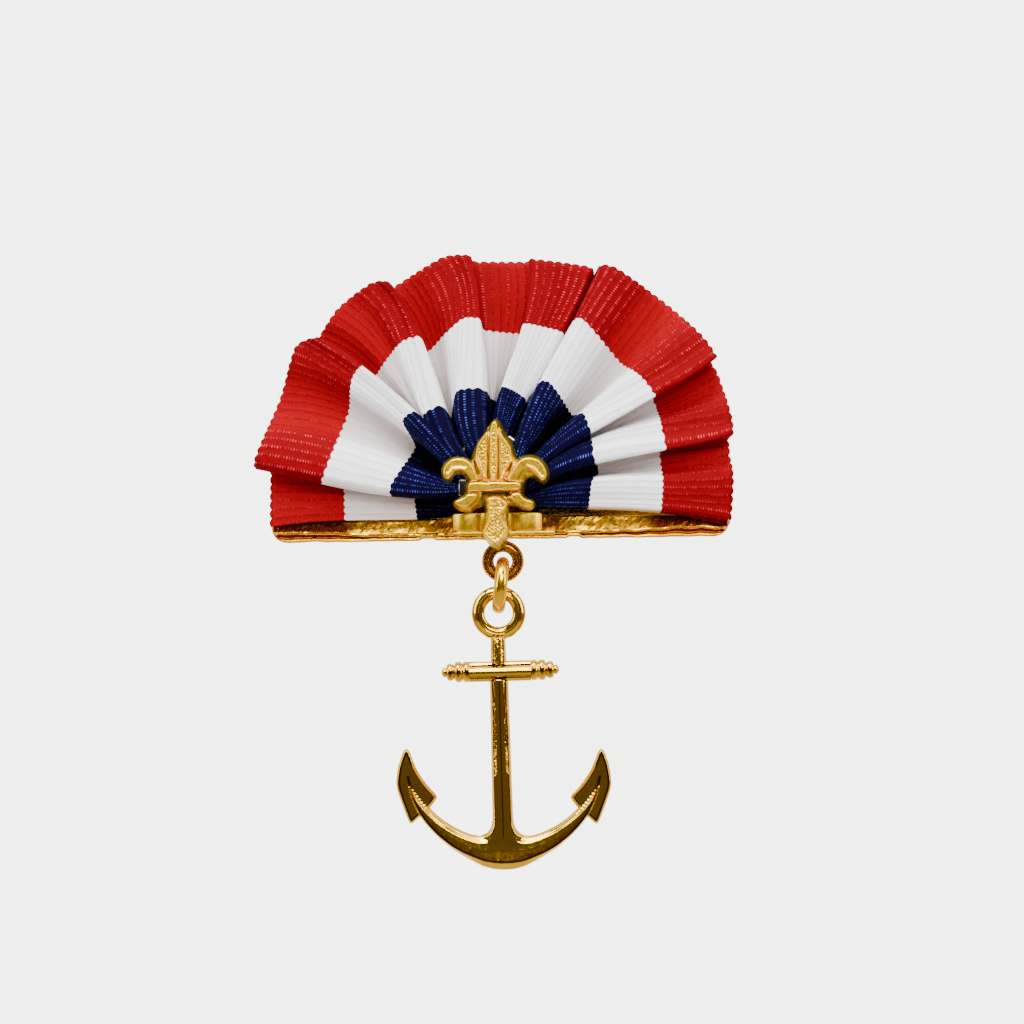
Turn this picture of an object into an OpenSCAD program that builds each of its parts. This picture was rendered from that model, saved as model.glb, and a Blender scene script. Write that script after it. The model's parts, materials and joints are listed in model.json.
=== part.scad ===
// Ribbon brooch: a gathered tricolour fan on a gilt bar, a fleur-de-lis in front and an anchor drop
// below. Millimetres. The origin is on the pin, +X is right, +Z is up and the front faces -Y.

/* [Ribbon fan] */
// Thickness of the ribbon's wall
ribbon_t = 1; // [0.8:0.05:1]
// Share of the ribbon's width, from the outer selvedge, where the inner stripe begins
waist_share = 0.645; // [0.62:0.005:0.67]
// How round the folds are, 0 for a plain wave
fold_roundness = 0.12; // [0.08:0.01:0.14]
// Steps along the ribbon from one fold line to the next
fold_steps = 5; // [4:1:6]
// Steps across the ribbon
width_steps = 9; // [6:1:10]

/* [Bar] */
// Length of the bar
bar_l = 70.7; // [68:0.1:72]
// Thickness of the bar's sheet
sheet_t = 0.7; // [0.6:0.05:0.8]
// Inner radius of the trough that the fan sits in
trough_r = 4.8; // [4.6:0.1:5]
// Height of the trough's centre
trough_z = -0.6; // [-0.7:0.05:-0.5]
// How far the trough's centre stands in front of the pin
trough_out = 7.5; // [7.4:0.05:7.6]
// Height of the top of the back wall
back_wall_top = 4.5; // [3:0.5:6]
// Length of the back wall
back_wall_l = 56; // [50:1:60]
// How much the bar's right end is higher than its left, in degrees
bar_tilt = 0.9; // [0:0.1:1]

/* [Saddle] */
// Left end of the saddle
saddle_left = -7.3; // [-7.6:0.1:-7]
// Right end of the saddle
saddle_right = 6.4; // [6:0.1:6.8]
// Height of the saddle's top
saddle_top = -1.9; // [-2.2:0.1:-1.8]
// How far the saddle's face stands in front of the pin
saddle_out = 10.3; // [10.2:0.05:10.35]

/* [Fleur-de-lis] */
// Thickness of the casting below its raised faces
fleur_base_t = 1.7; // [1.4:0.1:2]
// Height of the raised faces
fleur_relief = 0.9; // [0.6:0.1:1.2]
// How far the raised faces stand in from the outline
fleur_margin = 0.5; // [0.4:0.05:0.6]
// Height of the petal's tip above the band
petal_h = 10.4; // [9.8:0.1:10.8]
// Half the petal's greatest width
petal_half_w = 3.2; // [3:0.1:3.4]
// Radius of the curl at the end of a side petal
curl_r = 2.15; // [2:0.05:2.25]
// Width of a side petal
curl_w = 1.35; // [1.2:0.05:1.5]
// Length of the foot below the band
foot_l = 9.7; // [9.4:0.1:10]

/* [Drop] */
// How far the drop's plane stands in front of the pin
drop_out = 8; // [7.9:0.05:8.1]
// Radius of the eye's hole
eye_hole_r = 1.42; // [1.4:0.01:1.5]
// Width of the eye's rim
eye_rim = 1.84; // [1.8:0.01:1.9]
// Thickness of the eye
eye_t = 1.6; // [1.4:0.05:1.8]
// Height of the eye's centre
eye_z = -9.5; // [-9.6:0.05:-9.5]
// Radius of the jump ring's wire
link_wire_r = 0.93; // [0.85:0.01:0.95]
// Radius of the jump ring at the middle of its wire
link_r = 3.35; // [3.3:0.01:3.45]
// How far the jump ring leans, in degrees
link_lean = 5.7; // [0:0.1:6]
// Clearance of the jump ring in the eye
link_gap = 0.15; // [0.1:0.01:0.2]
// Clearance of the anchor's ring on the jump ring
anchor_gap = 0.25; // [0.2:0.01:0.3]

/* [Anchor] */
// Radius of the hole in the anchor's ring
ring_hole_r = 2.17; // [2.1:0.01:2.25]
// Width of the ring's rim
ring_rim = 2.02; // [1.9:0.01:2.05]
// Distance from the ring's centre down to the stock
stock_drop = 8.8; // [8.6:0.1:9]
// Radius of the stock
stock_r = 1.5; // [1.4:0.05:1.6]
// Half the length of the stock's plain part
stock_plain = 4.5; // [4.3:0.1:4.7]
// Width of the shank
shank_w = 3; // [2.8:0.1:3.2]
// Thickness of the shank
shank_t = 3; // [2.8:0.1:3.2]
// Distance from the ring's centre down to the crown
crown_drop = 39.9; // [39.7:0.1:40]
// Thickness of the fluke's plate
fluke_t = 1.6; // [1.4:0.1:1.8]
// Thickness of the arms at their ridge
arm_t = 3.2; // [3:0.1:3.4]
// How far the anchor leans, in degrees
anchor_lean = 1.6; // [0:0.1:2]

/* [Pin] */
// Length of the pin's base strip
pin_base_l = 38; // [34:1:42]
// Distance from the middle to the pin's hinge end and to its catch
pin_half_l = 16; // [15:0.5:17]
// Radius of the pin's stem
pin_r = 0.5; // [0.4:0.05:0.6]

/* [Hidden] */

GOLD = [0.83, 0.62, 0.24];
DARK_GOLD = [0.62, 0.42, 0.16];
SILVER = [0.8, 0.8, 0.82];
RED = [0.8, 0.03, 0.06];

fit = 0.1;
round_fn = 48;

// One row for each fold line of the ribbon, from the left cut end to the right one. The first three
// places are where the line crosses the outer selvedge, the waist and the gathers. The last three say
// how far it stands out in front of the pin's plane there: crests are far out, valleys lie back.
// [edge_x, edge_z, waist_x, waist_z, gather_x, gather_z, edge_out, waist_out, gather_out]
FOLDS = [
    [-34.3, -4.3, -13.0, -2.9, -4.7, -1.3, 5.2, 5.2, 5.2],
    [-34.7, 8.2, -14.9, 4.6, -5.2, 0.0, 3.9, 4.6, 6.8],
    [-37.5, 5.7, -16.6, 1.6, -5.8, 1.2, 7.8, 9.0, 7.8],
    [-34.1, 15.5, -13.3, 8.1, -5.7, 2.3, 6.0, 5.2, 7.4],
    [-30.5, 25.6, -14.6, 13.2, -5.4, 3.3, 7.6, 9.0, 8.2],
    [-28.2, 24.6, -11.2, 11.2, -4.9, 4.3, 4.1, 4.8, 7.6],
    [-18.3, 34.3, -10.4, 14.3, -4.4, 5.2, 7.4, 9.0, 8.2],
    [-16.7, 32.9, -7.8, 13.0, -3.6, 5.8, 4.2, 4.8, 7.6],
    [-7.3, 38.1, -4.0, 17.4, -2.7, 6.3, 7.2, 9.0, 8.2],
    [-0.9, 36.9, -0.8, 15.8, -1.6, 6.6, 5.4, 5.2, 7.6],
    [6.2, 37.8, 1.6, 17.7, -0.4, 6.8, 7.4, 9.0, 8.2],
    [13.0, 36.6, 3.6, 16.9, 0.6, 6.5, 6.8, 7.6, 8.0],
    [14.3, 34.7, 4.9, 14.7, 1.4, 6.0, 4.1, 4.6, 7.6],
    [16.0, 36.6, 7.0, 18.1, 2.1, 5.3, 8.0, 9.2, 8.2],
    [24.8, 31.2, 11.3, 14.0, 2.7, 4.5, 6.2, 5.0, 7.6],
    [33.2, 23.4, 13.6, 12.4, 3.3, 3.7, 8.0, 9.0, 8.2],
    [33.3, 20.9, 14.1, 9.8, 3.8, 2.9, 4.4, 4.8, 7.6],
    [36.3, 10.9, 14.7, 7.0, 4.1, 2.1, 7.8, 9.0, 8.2],
    [36.0, 6.8, 15.2, 4.0, 4.3, 1.2, 4.4, 4.8, 7.4],
    [36.3, 1.6, 14.6, 1.6, 4.2, 0.3, 7.4, 8.6, 7.6],
    [34.2, -3.8, 13.6, -1.2, 3.7, -0.9, 5.8, 6.2, 5.8]
];

// One row for each bead at the stock's ends: distance from the middle, radius
STOCK_BEADS = [[5.15, 1.6], [6.45, 1.62], [7.7, 1.35]];

// Profile of the knob past the last bead: radius, distance from the middle
STOCK_KNOB = [[0.5, 8.35], [0.82, 8.5], [0.82, 8.75], [0.5, 9], [0, 9.1]];

// Outline of the right fluke, from its tip round the outside, measured from the ring's centre
FLUKE = [
    [15.2, -21.3], [16.4, -23.6], [16.65, -26.2], [15.75, -29.8], [14.7, -32.6], [14.2, -32.7],
    [13.1, -31.7], [11.6, -30.1], [10.4, -28.7], [10.4, -28.2], [12.3, -26.2], [13.7, -23.9], [14.5, -21.8]
];

eye_x = 0.45;
eye_r = eye_hole_r + eye_rim;
link_top_z = eye_z - eye_hole_r + link_gap + link_wire_r;
link_bottom = [eye_x - 2 * link_r * sin(link_lean), link_top_z - 2 * link_r * cos(link_lean)];
ring_r = ring_hole_r + ring_rim / 2;
anchor_x = link_bottom[0];
anchor_z = link_bottom[1] + link_wire_r + anchor_gap - ring_hole_r;
fleur_back = saddle_out + 0.2;
fleur_at = [-0.68, 2.0];
fleur_lean = 0.8;
wire_at = [-1.1, 5.0];
wire_ring_r = 5.3;
wire_r = 0.38;
wall_y = -2.1;

// The ribbon's surface

// A smooth curve through the values at the outer selvedge, the waist and the gathers
function across(edge, waist, gather, u) =
    edge * (u - waist_share) * (u - 1) / waist_share
    + waist * u * (u - 1) / (waist_share * (waist_share - 1))
    + gather * u * (u - waist_share) / (1 - waist_share);

function fold_row(i) = FOLDS[max(0, min(len(FOLDS) - 1, i))];
function fold_place(i, u) = let (f = fold_row(i)) [across(f[0], f[2], f[4], u), across(f[1], f[3], f[5], u)];
function fold_out(i, u) = let (f = fold_row(i)) across(f[6], f[7], f[8], u);

// A point between fold line i and the next: t runs from 0 to 1 along the ribbon and u across it
function smooth(a, b, c, d, t) =
    0.5 * (2 * b + (c - a) * t + (2 * a - 5 * b + 4 * c - d) * t * t + (3 * b - a - 3 * c + d) * t * t * t);
function ribbon_point(i, t, u) =
    let (
        w = t + fold_roundness * sin(360 * t),
        near = [for (k = [-1:2]) fold_place(i + k, u)],
        p = smooth(near[0], near[1], near[2], near[3], w),
        out = fold_out(i, u) + (fold_out(i + 1, u) - fold_out(i, u)) * (1 - cos(180 * t)) / 2
    )
    [p[0], -out, p[1]];

// The same point with one number s along the whole ribbon, which may pass its ends a little
function ribbon_at(s, u) = let (i = max(0, min(len(FOLDS) - 2, floor(s)))) ribbon_point(i, s - i, u);
function ribbon_normal(s, u) =
    let (
        step = 0.02,
        along = ribbon_at(s + step, u) - ribbon_at(s - step, u),
        width = ribbon_at(s, u + step) - ribbon_at(s, u - step),
        n = cross(along, width)
    )
    n / norm(n);

module ribbon_fan() {
    columns = (len(FOLDS) - 1) * fold_steps;
    rows = width_steps;
    stride = rows + 1;
    layer = (columns + 1) * stride;
    points = [
        for (side = [1, -1], c = [0:columns], r = [0:rows])
            let (s = c / fold_steps, u = r / rows)
            ribbon_at(s, u) + ribbon_normal(s, u) * side * ribbon_t / 2
    ];
    sheets = [
        for (c = [0:columns - 1], r = [0:rows - 1])
            let (a = c * stride + r, b = a + 1, d = a + stride, e = d + 1)
            each [[a, b, d], [b, e, d], [a + layer, d + layer, b + layer], [b + layer, d + layer, e + layer]]
    ];
    selvedges = [
        for (c = [0:columns - 1])
            let (a = c * stride, d = a + stride, g = a + rows, h = d + rows)
            each [
                [a, d, a + layer], [d, d + layer, a + layer],
                [g, g + layer, h], [h, g + layer, h + layer]
            ]
    ];
    cut_ends = [
        for (r = [0:rows - 1])
            let (a = r, b = a + 1, g = columns * stride + r, h = g + 1)
            each [
                [a, a + layer, b], [b, a + layer, b + layer],
                [g, h, g + layer], [h, h + layer, g + layer]
            ]
    ];
    color(RED) polyhedron(points, concat(sheets, selvedges, cut_ends));
}

// Solids whose outline is drawn as seen from the front, between two distances in front of the pin
module front_slab(from_out, to_out) {
    translate([0, -from_out, 0]) rotate([90, 0, 0]) linear_extrude(to_out - from_out) children();
}

// Solids whose section is drawn as seen from the right, with Y across, between two values of X
module side_slab(left, right) {
    translate([left, 0, 0]) rotate([90, 0, 90]) linear_extrude(right - left) children();
}

module trough_section(r) {
    translate([-trough_out, trough_z]) circle(r, $fn = round_fn);
}

module bar() {
    lip_out = 9.6;
    lip_z = trough_z - sqrt(pow(trough_r, 2) - pow(lip_out - trough_out, 2));
    bottom = trough_z - trough_r - sheet_t;
    top = -2.2;
    end_top = -3.9;
    corner = 2.4;
    back = -wall_y;
    wall_t = 0.8;
    wall_foot = -3.2;
    color(GOLD) rotate([0, -bar_tilt, 0]) difference() {
        union() {
            intersection() {
                union() {
                    side_slab(-bar_l / 2, bar_l / 2) difference() {
                        translate([-lip_out, bottom]) square([lip_out - back, top - bottom]);
                        trough_section(trough_r);
                        translate([-lip_out - 1, lip_z]) square([lip_out - trough_out + 1, 10]);
                    }
                    for (end = [-bar_l / 2, bar_l / 2 - sheet_t])
                        side_slab(end, end + sheet_t) intersection() {
                            trough_section(trough_r + fit);
                            translate([-lip_out, bottom])
                                square([lip_out - back, end_top - bottom]);
                        }
                }
                side_slab(-bar_l / 2, bar_l / 2) union() {
                    trough_section(trough_r + sheet_t);
                    translate([-lip_out - 0.6, bottom]) square([2.6, lip_z - bottom]);
                }
                front_slab(0, 12) union() {
                    translate([-bar_l / 2 + corner, bottom]) square([bar_l - 2 * corner, 12]);
                    translate([-bar_l / 2, bottom + corner]) square([bar_l, 12]);
                    for (side = [-1, 1])
                        translate([side * (bar_l / 2 - corner), bottom + corner])
                            circle(corner, $fn = round_fn);
                }
            }
            translate([-back_wall_l / 2, wall_y - wall_t, wall_foot])
                cube([back_wall_l, wall_t, back_wall_top - wall_foot]);
            bar_lip(lip_out, lip_z);
        }
        translate([eye_x, -drop_out, bottom - 1]) cylinder(r = 1, h = 4, $fn = round_fn);
    }
}

// The rolled edge along the front of the trough, as a flat strip with a round bead above it
module bar_lip(lip_out, lip_z) {
    inset = 1.6;
    translate([-bar_l / 2 + inset, -lip_out - 0.45, lip_z - 1.1]) cube([bar_l - 2 * inset, 0.6, 1.05]);
    translate([-bar_l / 2 + inset, -lip_out - 0.1, lip_z - 0.2]) rotate([0, 90, 0])
        cylinder(r = 0.3, h = bar_l - 2 * inset, $fn = round_fn);
}

module saddle() {
    bottom = -4.75;
    corner = 0.9;
    back = 7;
    color(GOLD) difference() {
        rotate([0, -bar_tilt, 0]) intersection() {
            side_slab(saddle_left, saddle_right) difference() {
                translate([-saddle_out, -6]) square([saddle_out - back, 6 + saddle_top]);
                translate([-saddle_out - 1, -7]) square([saddle_out - trough_out + 0.2, 7 + bottom]);
                translate([-trough_out, -7]) square([2, 7 - 5.2]);
            }
            union() {
                side_slab(-10, 10) trough_section(trough_r - fit);
                translate([-10, -saddle_out - 1, bottom]) cube([20, 3, 4]);
            }
            linear_extrude(20, center = true) union() {
                translate([saddle_left, -saddle_out + corner]) square([saddle_right - saddle_left, 4]);
                translate([saddle_left + corner, -saddle_out])
                    square([saddle_right - saddle_left - 2 * corner, 4]);
                for (x = [saddle_left + corner, saddle_right - corner])
                    translate([x, -saddle_out + corner]) circle(corner, $fn = round_fn);
            }
        }
        translate([eye_x, -drop_out, -6]) cylinder(r = 0.95, h = 3, $fn = round_fn);
    }
}

// The fleur-de-lis is drawn about the middle of its band, as seen from the front
module petal_2d() {
    hull() {
        translate([0, petal_h - 0.45]) circle(0.45, $fn = 24);
        for (side = [-1, 1]) translate([side * (petal_half_w - 1.2), 5.6]) circle(1.2, $fn = 24);
        translate([0, 1.4]) circle(1.5, $fn = 24);
    }
}

module curl_2d(w) {
    hook = [5.45, 2.15];
    start = 140;
    end = -35;
    joint = 0.04;
    stem_top = [hook[0] + curl_r * cos(start), hook[1] + curl_r * sin(start)];
    outer_r = curl_r + w / 2;
    inner_r = curl_r - w / 2;
    arc = [for (a = [end:5:start]) [hook[0] + outer_r * cos(a), hook[1] + outer_r * sin(a)]];
    inner_arc = [for (a = [start:-5:end]) [hook[0] + inner_r * cos(a), hook[1] + inner_r * sin(a)]];
    polygon(concat(arc, inner_arc));
    translate([hook[0] + curl_r * cos(end), hook[1] + curl_r * sin(end)]) circle(w / 2 - joint, $fn = 24);
    hull() {
        translate(stem_top) circle(w / 2 - joint, $fn = 24);
        translate([1.9, 0.9]) circle(w * 0.4, $fn = 24);
    }
}

module leaf_2d(w) {
    hull() {
        translate([2.2, -0.5]) circle(w * 0.42, $fn = 24);
        translate([3.6, -2.2]) circle(w / 2, $fn = 24);
    }
    hull() {
        translate([3.6, -2.2]) circle(w / 2, $fn = 24);
        translate([5.4, -2.75]) circle(w / 2, $fn = 24);
    }
}

module foot_2d() {
    polygon([
        [-1.6, -0.4], [1.9, -0.4], [2.1, -3.6], [1.85, -5.2], [2.15, -6.8], [1.6, -8.3],
        [0.3, -foot_l], [-0.9, -8.6], [-2.05, -6.8], [-1.75, -5.2], [-1.8, -3.6]
    ]);
}

module band_2d() {
    translate([-4.75, -0.68]) square([9.5, 1.6]);
}

module fleur_de_lis() {
    top = fleur_back + fleur_base_t;
    color(GOLD) translate([fleur_at[0], 0, fleur_at[1]]) rotate([0, fleur_lean, 0]) {
        front_slab(fleur_back, top) union() {
            petal_2d();
            band_2d();
            foot_2d();
            for (side = [0, 1]) mirror([side, 0]) {
                curl_2d(curl_w);
                leaf_2d(1.6);
            }
        }
        front_slab(top - fit, top + fleur_relief) difference() {
            offset(delta = -fleur_margin) petal_2d();
            for (side = [-1, 1]) translate([side * 0.85 - 0.15, 0]) square([0.3, 9]);
        }
        front_slab(top - fit, top + fleur_relief * 0.8) for (side = [0, 1]) mirror([side, 0]) {
            curl_2d(curl_w * 0.55);
            leaf_2d(0.85);
        }
        front_slab(top - fit, top + fleur_relief) offset(delta = -0.3) band_2d();
        front_slab(top - fit, top + fleur_relief * 0.8) difference() {
            offset(delta = -fleur_margin) foot_2d();
            translate([0, -foot_l]) square([0.25, foot_l - 1]);
        }
    }
}

module gather_wire() {
    wire_out = 9.9;
    color(SILVER) {
        translate([wire_at[0], -wire_out, wire_at[1]]) rotate([90, 0, 0])
            rotate_extrude($fn = round_fn) translate([wire_ring_r, 0]) circle(wire_r, $fn = 24);
        translate([-6.35, -wire_out - wire_r, 0.6]) cube([1.4, 2 * wire_r, 2.5]);
    }
}

module drop_eye() {
    stem_r = 0.8;
    rim = eye_t / 2;
    channel = rim - 0.25;
    face = [
        [eye_hole_r, rim - 0.3], [eye_hole_r + 0.15, rim], [eye_hole_r + 0.4, rim],
        [eye_hole_r + 0.55, channel], [eye_r - 0.55, channel], [eye_r - 0.4, rim], [eye_r - 0.15, rim],
        [eye_r, rim - 0.3]
    ];
    color(DARK_GOLD) {
        translate([eye_x, -drop_out, eye_z]) rotate([90, 0, 0]) rotate_extrude($fn = round_fn)
            polygon(concat(face, [for (i = [len(face) - 1:-1:0]) [face[i][0], -face[i][1]]]));
        translate([eye_x, -drop_out, eye_z + eye_r - 0.6]) cylinder(r = stem_r, h = 3.2, $fn = round_fn);
    }
}

module jump_ring() {
    color(GOLD) translate([eye_x, -drop_out, link_top_z]) rotate([0, link_lean, 0])
        translate([0, 0, -link_r]) rotate([0, 90, 0])
            rotate_extrude($fn = 64) translate([link_r, 0]) circle(link_wire_r, $fn = 32);
}

// The anchor is drawn about its ring's centre
module ring_section() {
    half = ring_rim / 2;
    translate([ring_r, 0]) polygon([
        [-half, -0.5], [-half + 0.3, -0.85], [0.15, -1], [0.35, -0.7], [half - 0.3, -0.7],
        [half, -0.35], [half, 0.35], [half - 0.3, 0.7], [0.35, 0.7], [0.15, 1], [-half + 0.3, 0.85],
        [-half, 0.5]
    ]);
}

module ridged_bar_2d(w, t) {
    side = w / 2;
    flat = side - 0.35;
    low = t * 0.15;
    high = t * 0.42;
    polygon([
        [-side, -low], [-flat, -high], [0, -t / 2], [flat, -high], [side, -low],
        [side, low], [flat, high], [0, t / 2], [-flat, high], [-side, low]
    ]);
}

module arms_2d(trim) {
    outer_r = 14.8;
    outer_z = -24.3;
    inner_r = 16;
    inner_z = -19.3;
    top = -25.5;
    intersection() {
        difference() {
            translate([0, outer_z]) circle(outer_r - trim, $fn = 96);
            translate([0, inner_z]) circle(inner_r + trim, $fn = 96);
        }
        translate([-20, -45]) square([40, 45 + top]);
    }
}

module crown_2d() {
    polygon([[-3.3, -38.6], [0, -crown_drop], [3.3, -38.6], [3.3, -36], [-3.3, -36]]);
}

// The round corners where the shank meets the arms
module crotch_2d() {
    r = 2.4;
    foot = -35.1;
    side = shank_w / 2 - 0.05;
    arc = [for (a = [185:17:270]) [side + r + r * cos(a), foot + r + r * sin(a)]];
    for (flip = [0, 1]) mirror([flip, 0])
        polygon(concat([[0, foot + r]], arc, [[side + r, foot - 1], [0, foot - 1]]));
}

function bead_profile(at, r) = [for (a = [-60:20:60]) [r - 0.7 + 0.7 * cos(a), at + 0.7 * sin(a)]];

// The stock is one turned rod: plain in the middle, with beads and a knob at each end
module stock() {
    beads = [for (b = STOCK_BEADS) each bead_profile(b[0], b[1])];
    half = concat([[stock_r, stock_plain]], beads, STOCK_KNOB);
    other = [for (i = [len(half) - 1:-1:0]) [half[i][0], -half[i][1]]];
    rotate([0, 90, 0]) rotate_extrude($fn = round_fn) polygon(concat(half, other));
}

module front_slab_centred(t) {
    front_slab(-t / 2, t / 2) children();
}

module anchor() {
    neck_w = 2.6;
    neck_t = 2.2;
    shank_foot = -36.5;
    color(GOLD) translate([anchor_x, -drop_out, anchor_z]) rotate([0, -anchor_lean, 0]) {
        rotate([90, 0, 0]) rotate_extrude($fn = 64) ring_section();
        translate([0, 0, -stock_drop]) linear_extrude(stock_drop - ring_r) ridged_bar_2d(neck_w, neck_t);
        translate([0, 0, shank_foot]) linear_extrude(-shank_foot - stock_drop)
            ridged_bar_2d(shank_w, shank_t);
        translate([0, 0, -stock_drop]) stock();
        front_slab_centred(arm_t * 0.55) union() {
            arms_2d(0);
            crown_2d();
            crotch_2d();
        }
        front_slab_centred(arm_t) arms_2d(0.45);
        front_slab_centred(fluke_t) for (side = [0, 1]) mirror([side, 0]) polygon(FLUKE);
    }
}

module pin() {
    base_y = -2;
    base_t = 0.6;
    base_h = 3.2;
    color(SILVER) {
        translate([-pin_base_l / 2, base_y, -base_h / 2]) cube([pin_base_l, base_t, base_h]);
        translate([pin_half_l - 1.2, base_y, -1.3]) cube([2.4, -base_y + 0.9, 2.6]);
        translate([pin_half_l, 0, 0]) rotate([0, -90, 0])
            cylinder(r = pin_r, h = 2 * pin_half_l, $fn = round_fn);
        translate([-pin_half_l, 0, 0]) rotate([0, -90, 0])
            cylinder(r1 = pin_r, r2 = 0.1, h = 1.8, $fn = round_fn);
        translate([-pin_half_l - 0.6, base_y, -1.3]) difference() {
            cube([1.6, -base_y + 1.1, 2.6]);
            translate([-1, -base_y - 0.7, 1.3 + pin_r]) cube([4, 1.4, 1]);
        }
    }
}

ribbon_fan();
bar();
saddle();
fleur_de_lis();
gather_wire();
drop_eye();
pin();
jump_ring();
anchor();
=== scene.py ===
"""Looks of a ribbon brooch: a gathered tricolour ribbon on a gilt bar, a fleur-de-lis and an anchor drop.

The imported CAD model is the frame. Each class below holds the sizes of one sub-assembly in millimetres,
builds its meshes in metres in the frame's own place, and dresses them. +X is right, +Z is up and the
front faces -Y. "Out" is the distance in front of the pin, so it runs along -Y.
"""

from __future__ import annotations

import json
import logging
import math
from collections.abc import Callable, Sequence
from dataclasses import dataclass, field
from enum import Enum

import bmesh
import bpy
import numpy as np
from mathutils import Matrix, Vector, noise

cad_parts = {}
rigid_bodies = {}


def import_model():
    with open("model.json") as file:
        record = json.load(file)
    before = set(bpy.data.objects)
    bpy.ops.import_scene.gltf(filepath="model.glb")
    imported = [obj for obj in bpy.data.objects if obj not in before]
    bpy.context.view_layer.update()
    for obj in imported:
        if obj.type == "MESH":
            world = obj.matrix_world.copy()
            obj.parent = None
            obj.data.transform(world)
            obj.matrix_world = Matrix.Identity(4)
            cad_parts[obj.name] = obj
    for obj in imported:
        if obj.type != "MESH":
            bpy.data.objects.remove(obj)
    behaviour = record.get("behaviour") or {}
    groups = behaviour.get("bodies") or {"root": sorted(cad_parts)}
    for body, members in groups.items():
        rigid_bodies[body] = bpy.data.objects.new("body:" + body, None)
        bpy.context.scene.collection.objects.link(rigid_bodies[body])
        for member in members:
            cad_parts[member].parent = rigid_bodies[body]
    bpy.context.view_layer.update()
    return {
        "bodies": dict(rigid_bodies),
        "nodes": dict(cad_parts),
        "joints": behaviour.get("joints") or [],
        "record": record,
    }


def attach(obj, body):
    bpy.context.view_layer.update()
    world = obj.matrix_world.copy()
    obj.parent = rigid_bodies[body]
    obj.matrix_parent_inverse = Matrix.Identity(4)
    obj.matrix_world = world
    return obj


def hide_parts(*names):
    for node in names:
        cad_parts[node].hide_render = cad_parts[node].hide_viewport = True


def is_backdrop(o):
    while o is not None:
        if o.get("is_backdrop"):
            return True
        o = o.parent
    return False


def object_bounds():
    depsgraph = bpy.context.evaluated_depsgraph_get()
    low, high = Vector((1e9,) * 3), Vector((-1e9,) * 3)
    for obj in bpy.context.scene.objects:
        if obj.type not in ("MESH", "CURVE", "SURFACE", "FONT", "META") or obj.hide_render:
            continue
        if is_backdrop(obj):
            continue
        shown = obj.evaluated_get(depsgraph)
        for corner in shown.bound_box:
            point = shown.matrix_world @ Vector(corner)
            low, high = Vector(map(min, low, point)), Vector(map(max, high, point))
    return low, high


MM = 0.001
Point = tuple[float, float]
Triple = tuple[float, float, float]
Box = tuple[float, float, float, float]
Colour = Triple
Form = bmesh.types.BMesh
Socket = bpy.types.NodeSocket
Field = Callable[[np.ndarray], np.ndarray]
GridField = Callable[[np.ndarray, np.ndarray], np.ndarray]

PAINTED_SHADE = "painted_shade"
STRIPE_BORDERS = (0.322, 0.645)
SCALLOP = 0.009
CORNER_CUT = 0.22
CORNER_DEG = 60.0
ALL_SMOOTH_DEG = 180.0
CREASE_DEG = 50.0
BEADED_DEG = 35.0
TINY = 1e-6
WELD = 1e-7

log = logging.getLogger("ribbon_brooch")


class Body(Enum):
    """The bodies that the pieces ride on."""

    BROOCH = "brooch"
    LINK = "link"
    ANCHOR = "anchor"


class Slot(Enum):
    """The material slots of the part's record."""

    RIBBON = "ribbon"
    SHEET = "gilt_sheet"
    BRUSHED = "gilt_brushed"
    MATTE = "gilt_matte"
    SILVER = "silvered_wire"
    DARK = "gilt_dark"
    STEEL = "pin_steel"
    SATIN = "gilt_satin"
    POLISHED = "gilt_polished"


# Finishes


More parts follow.
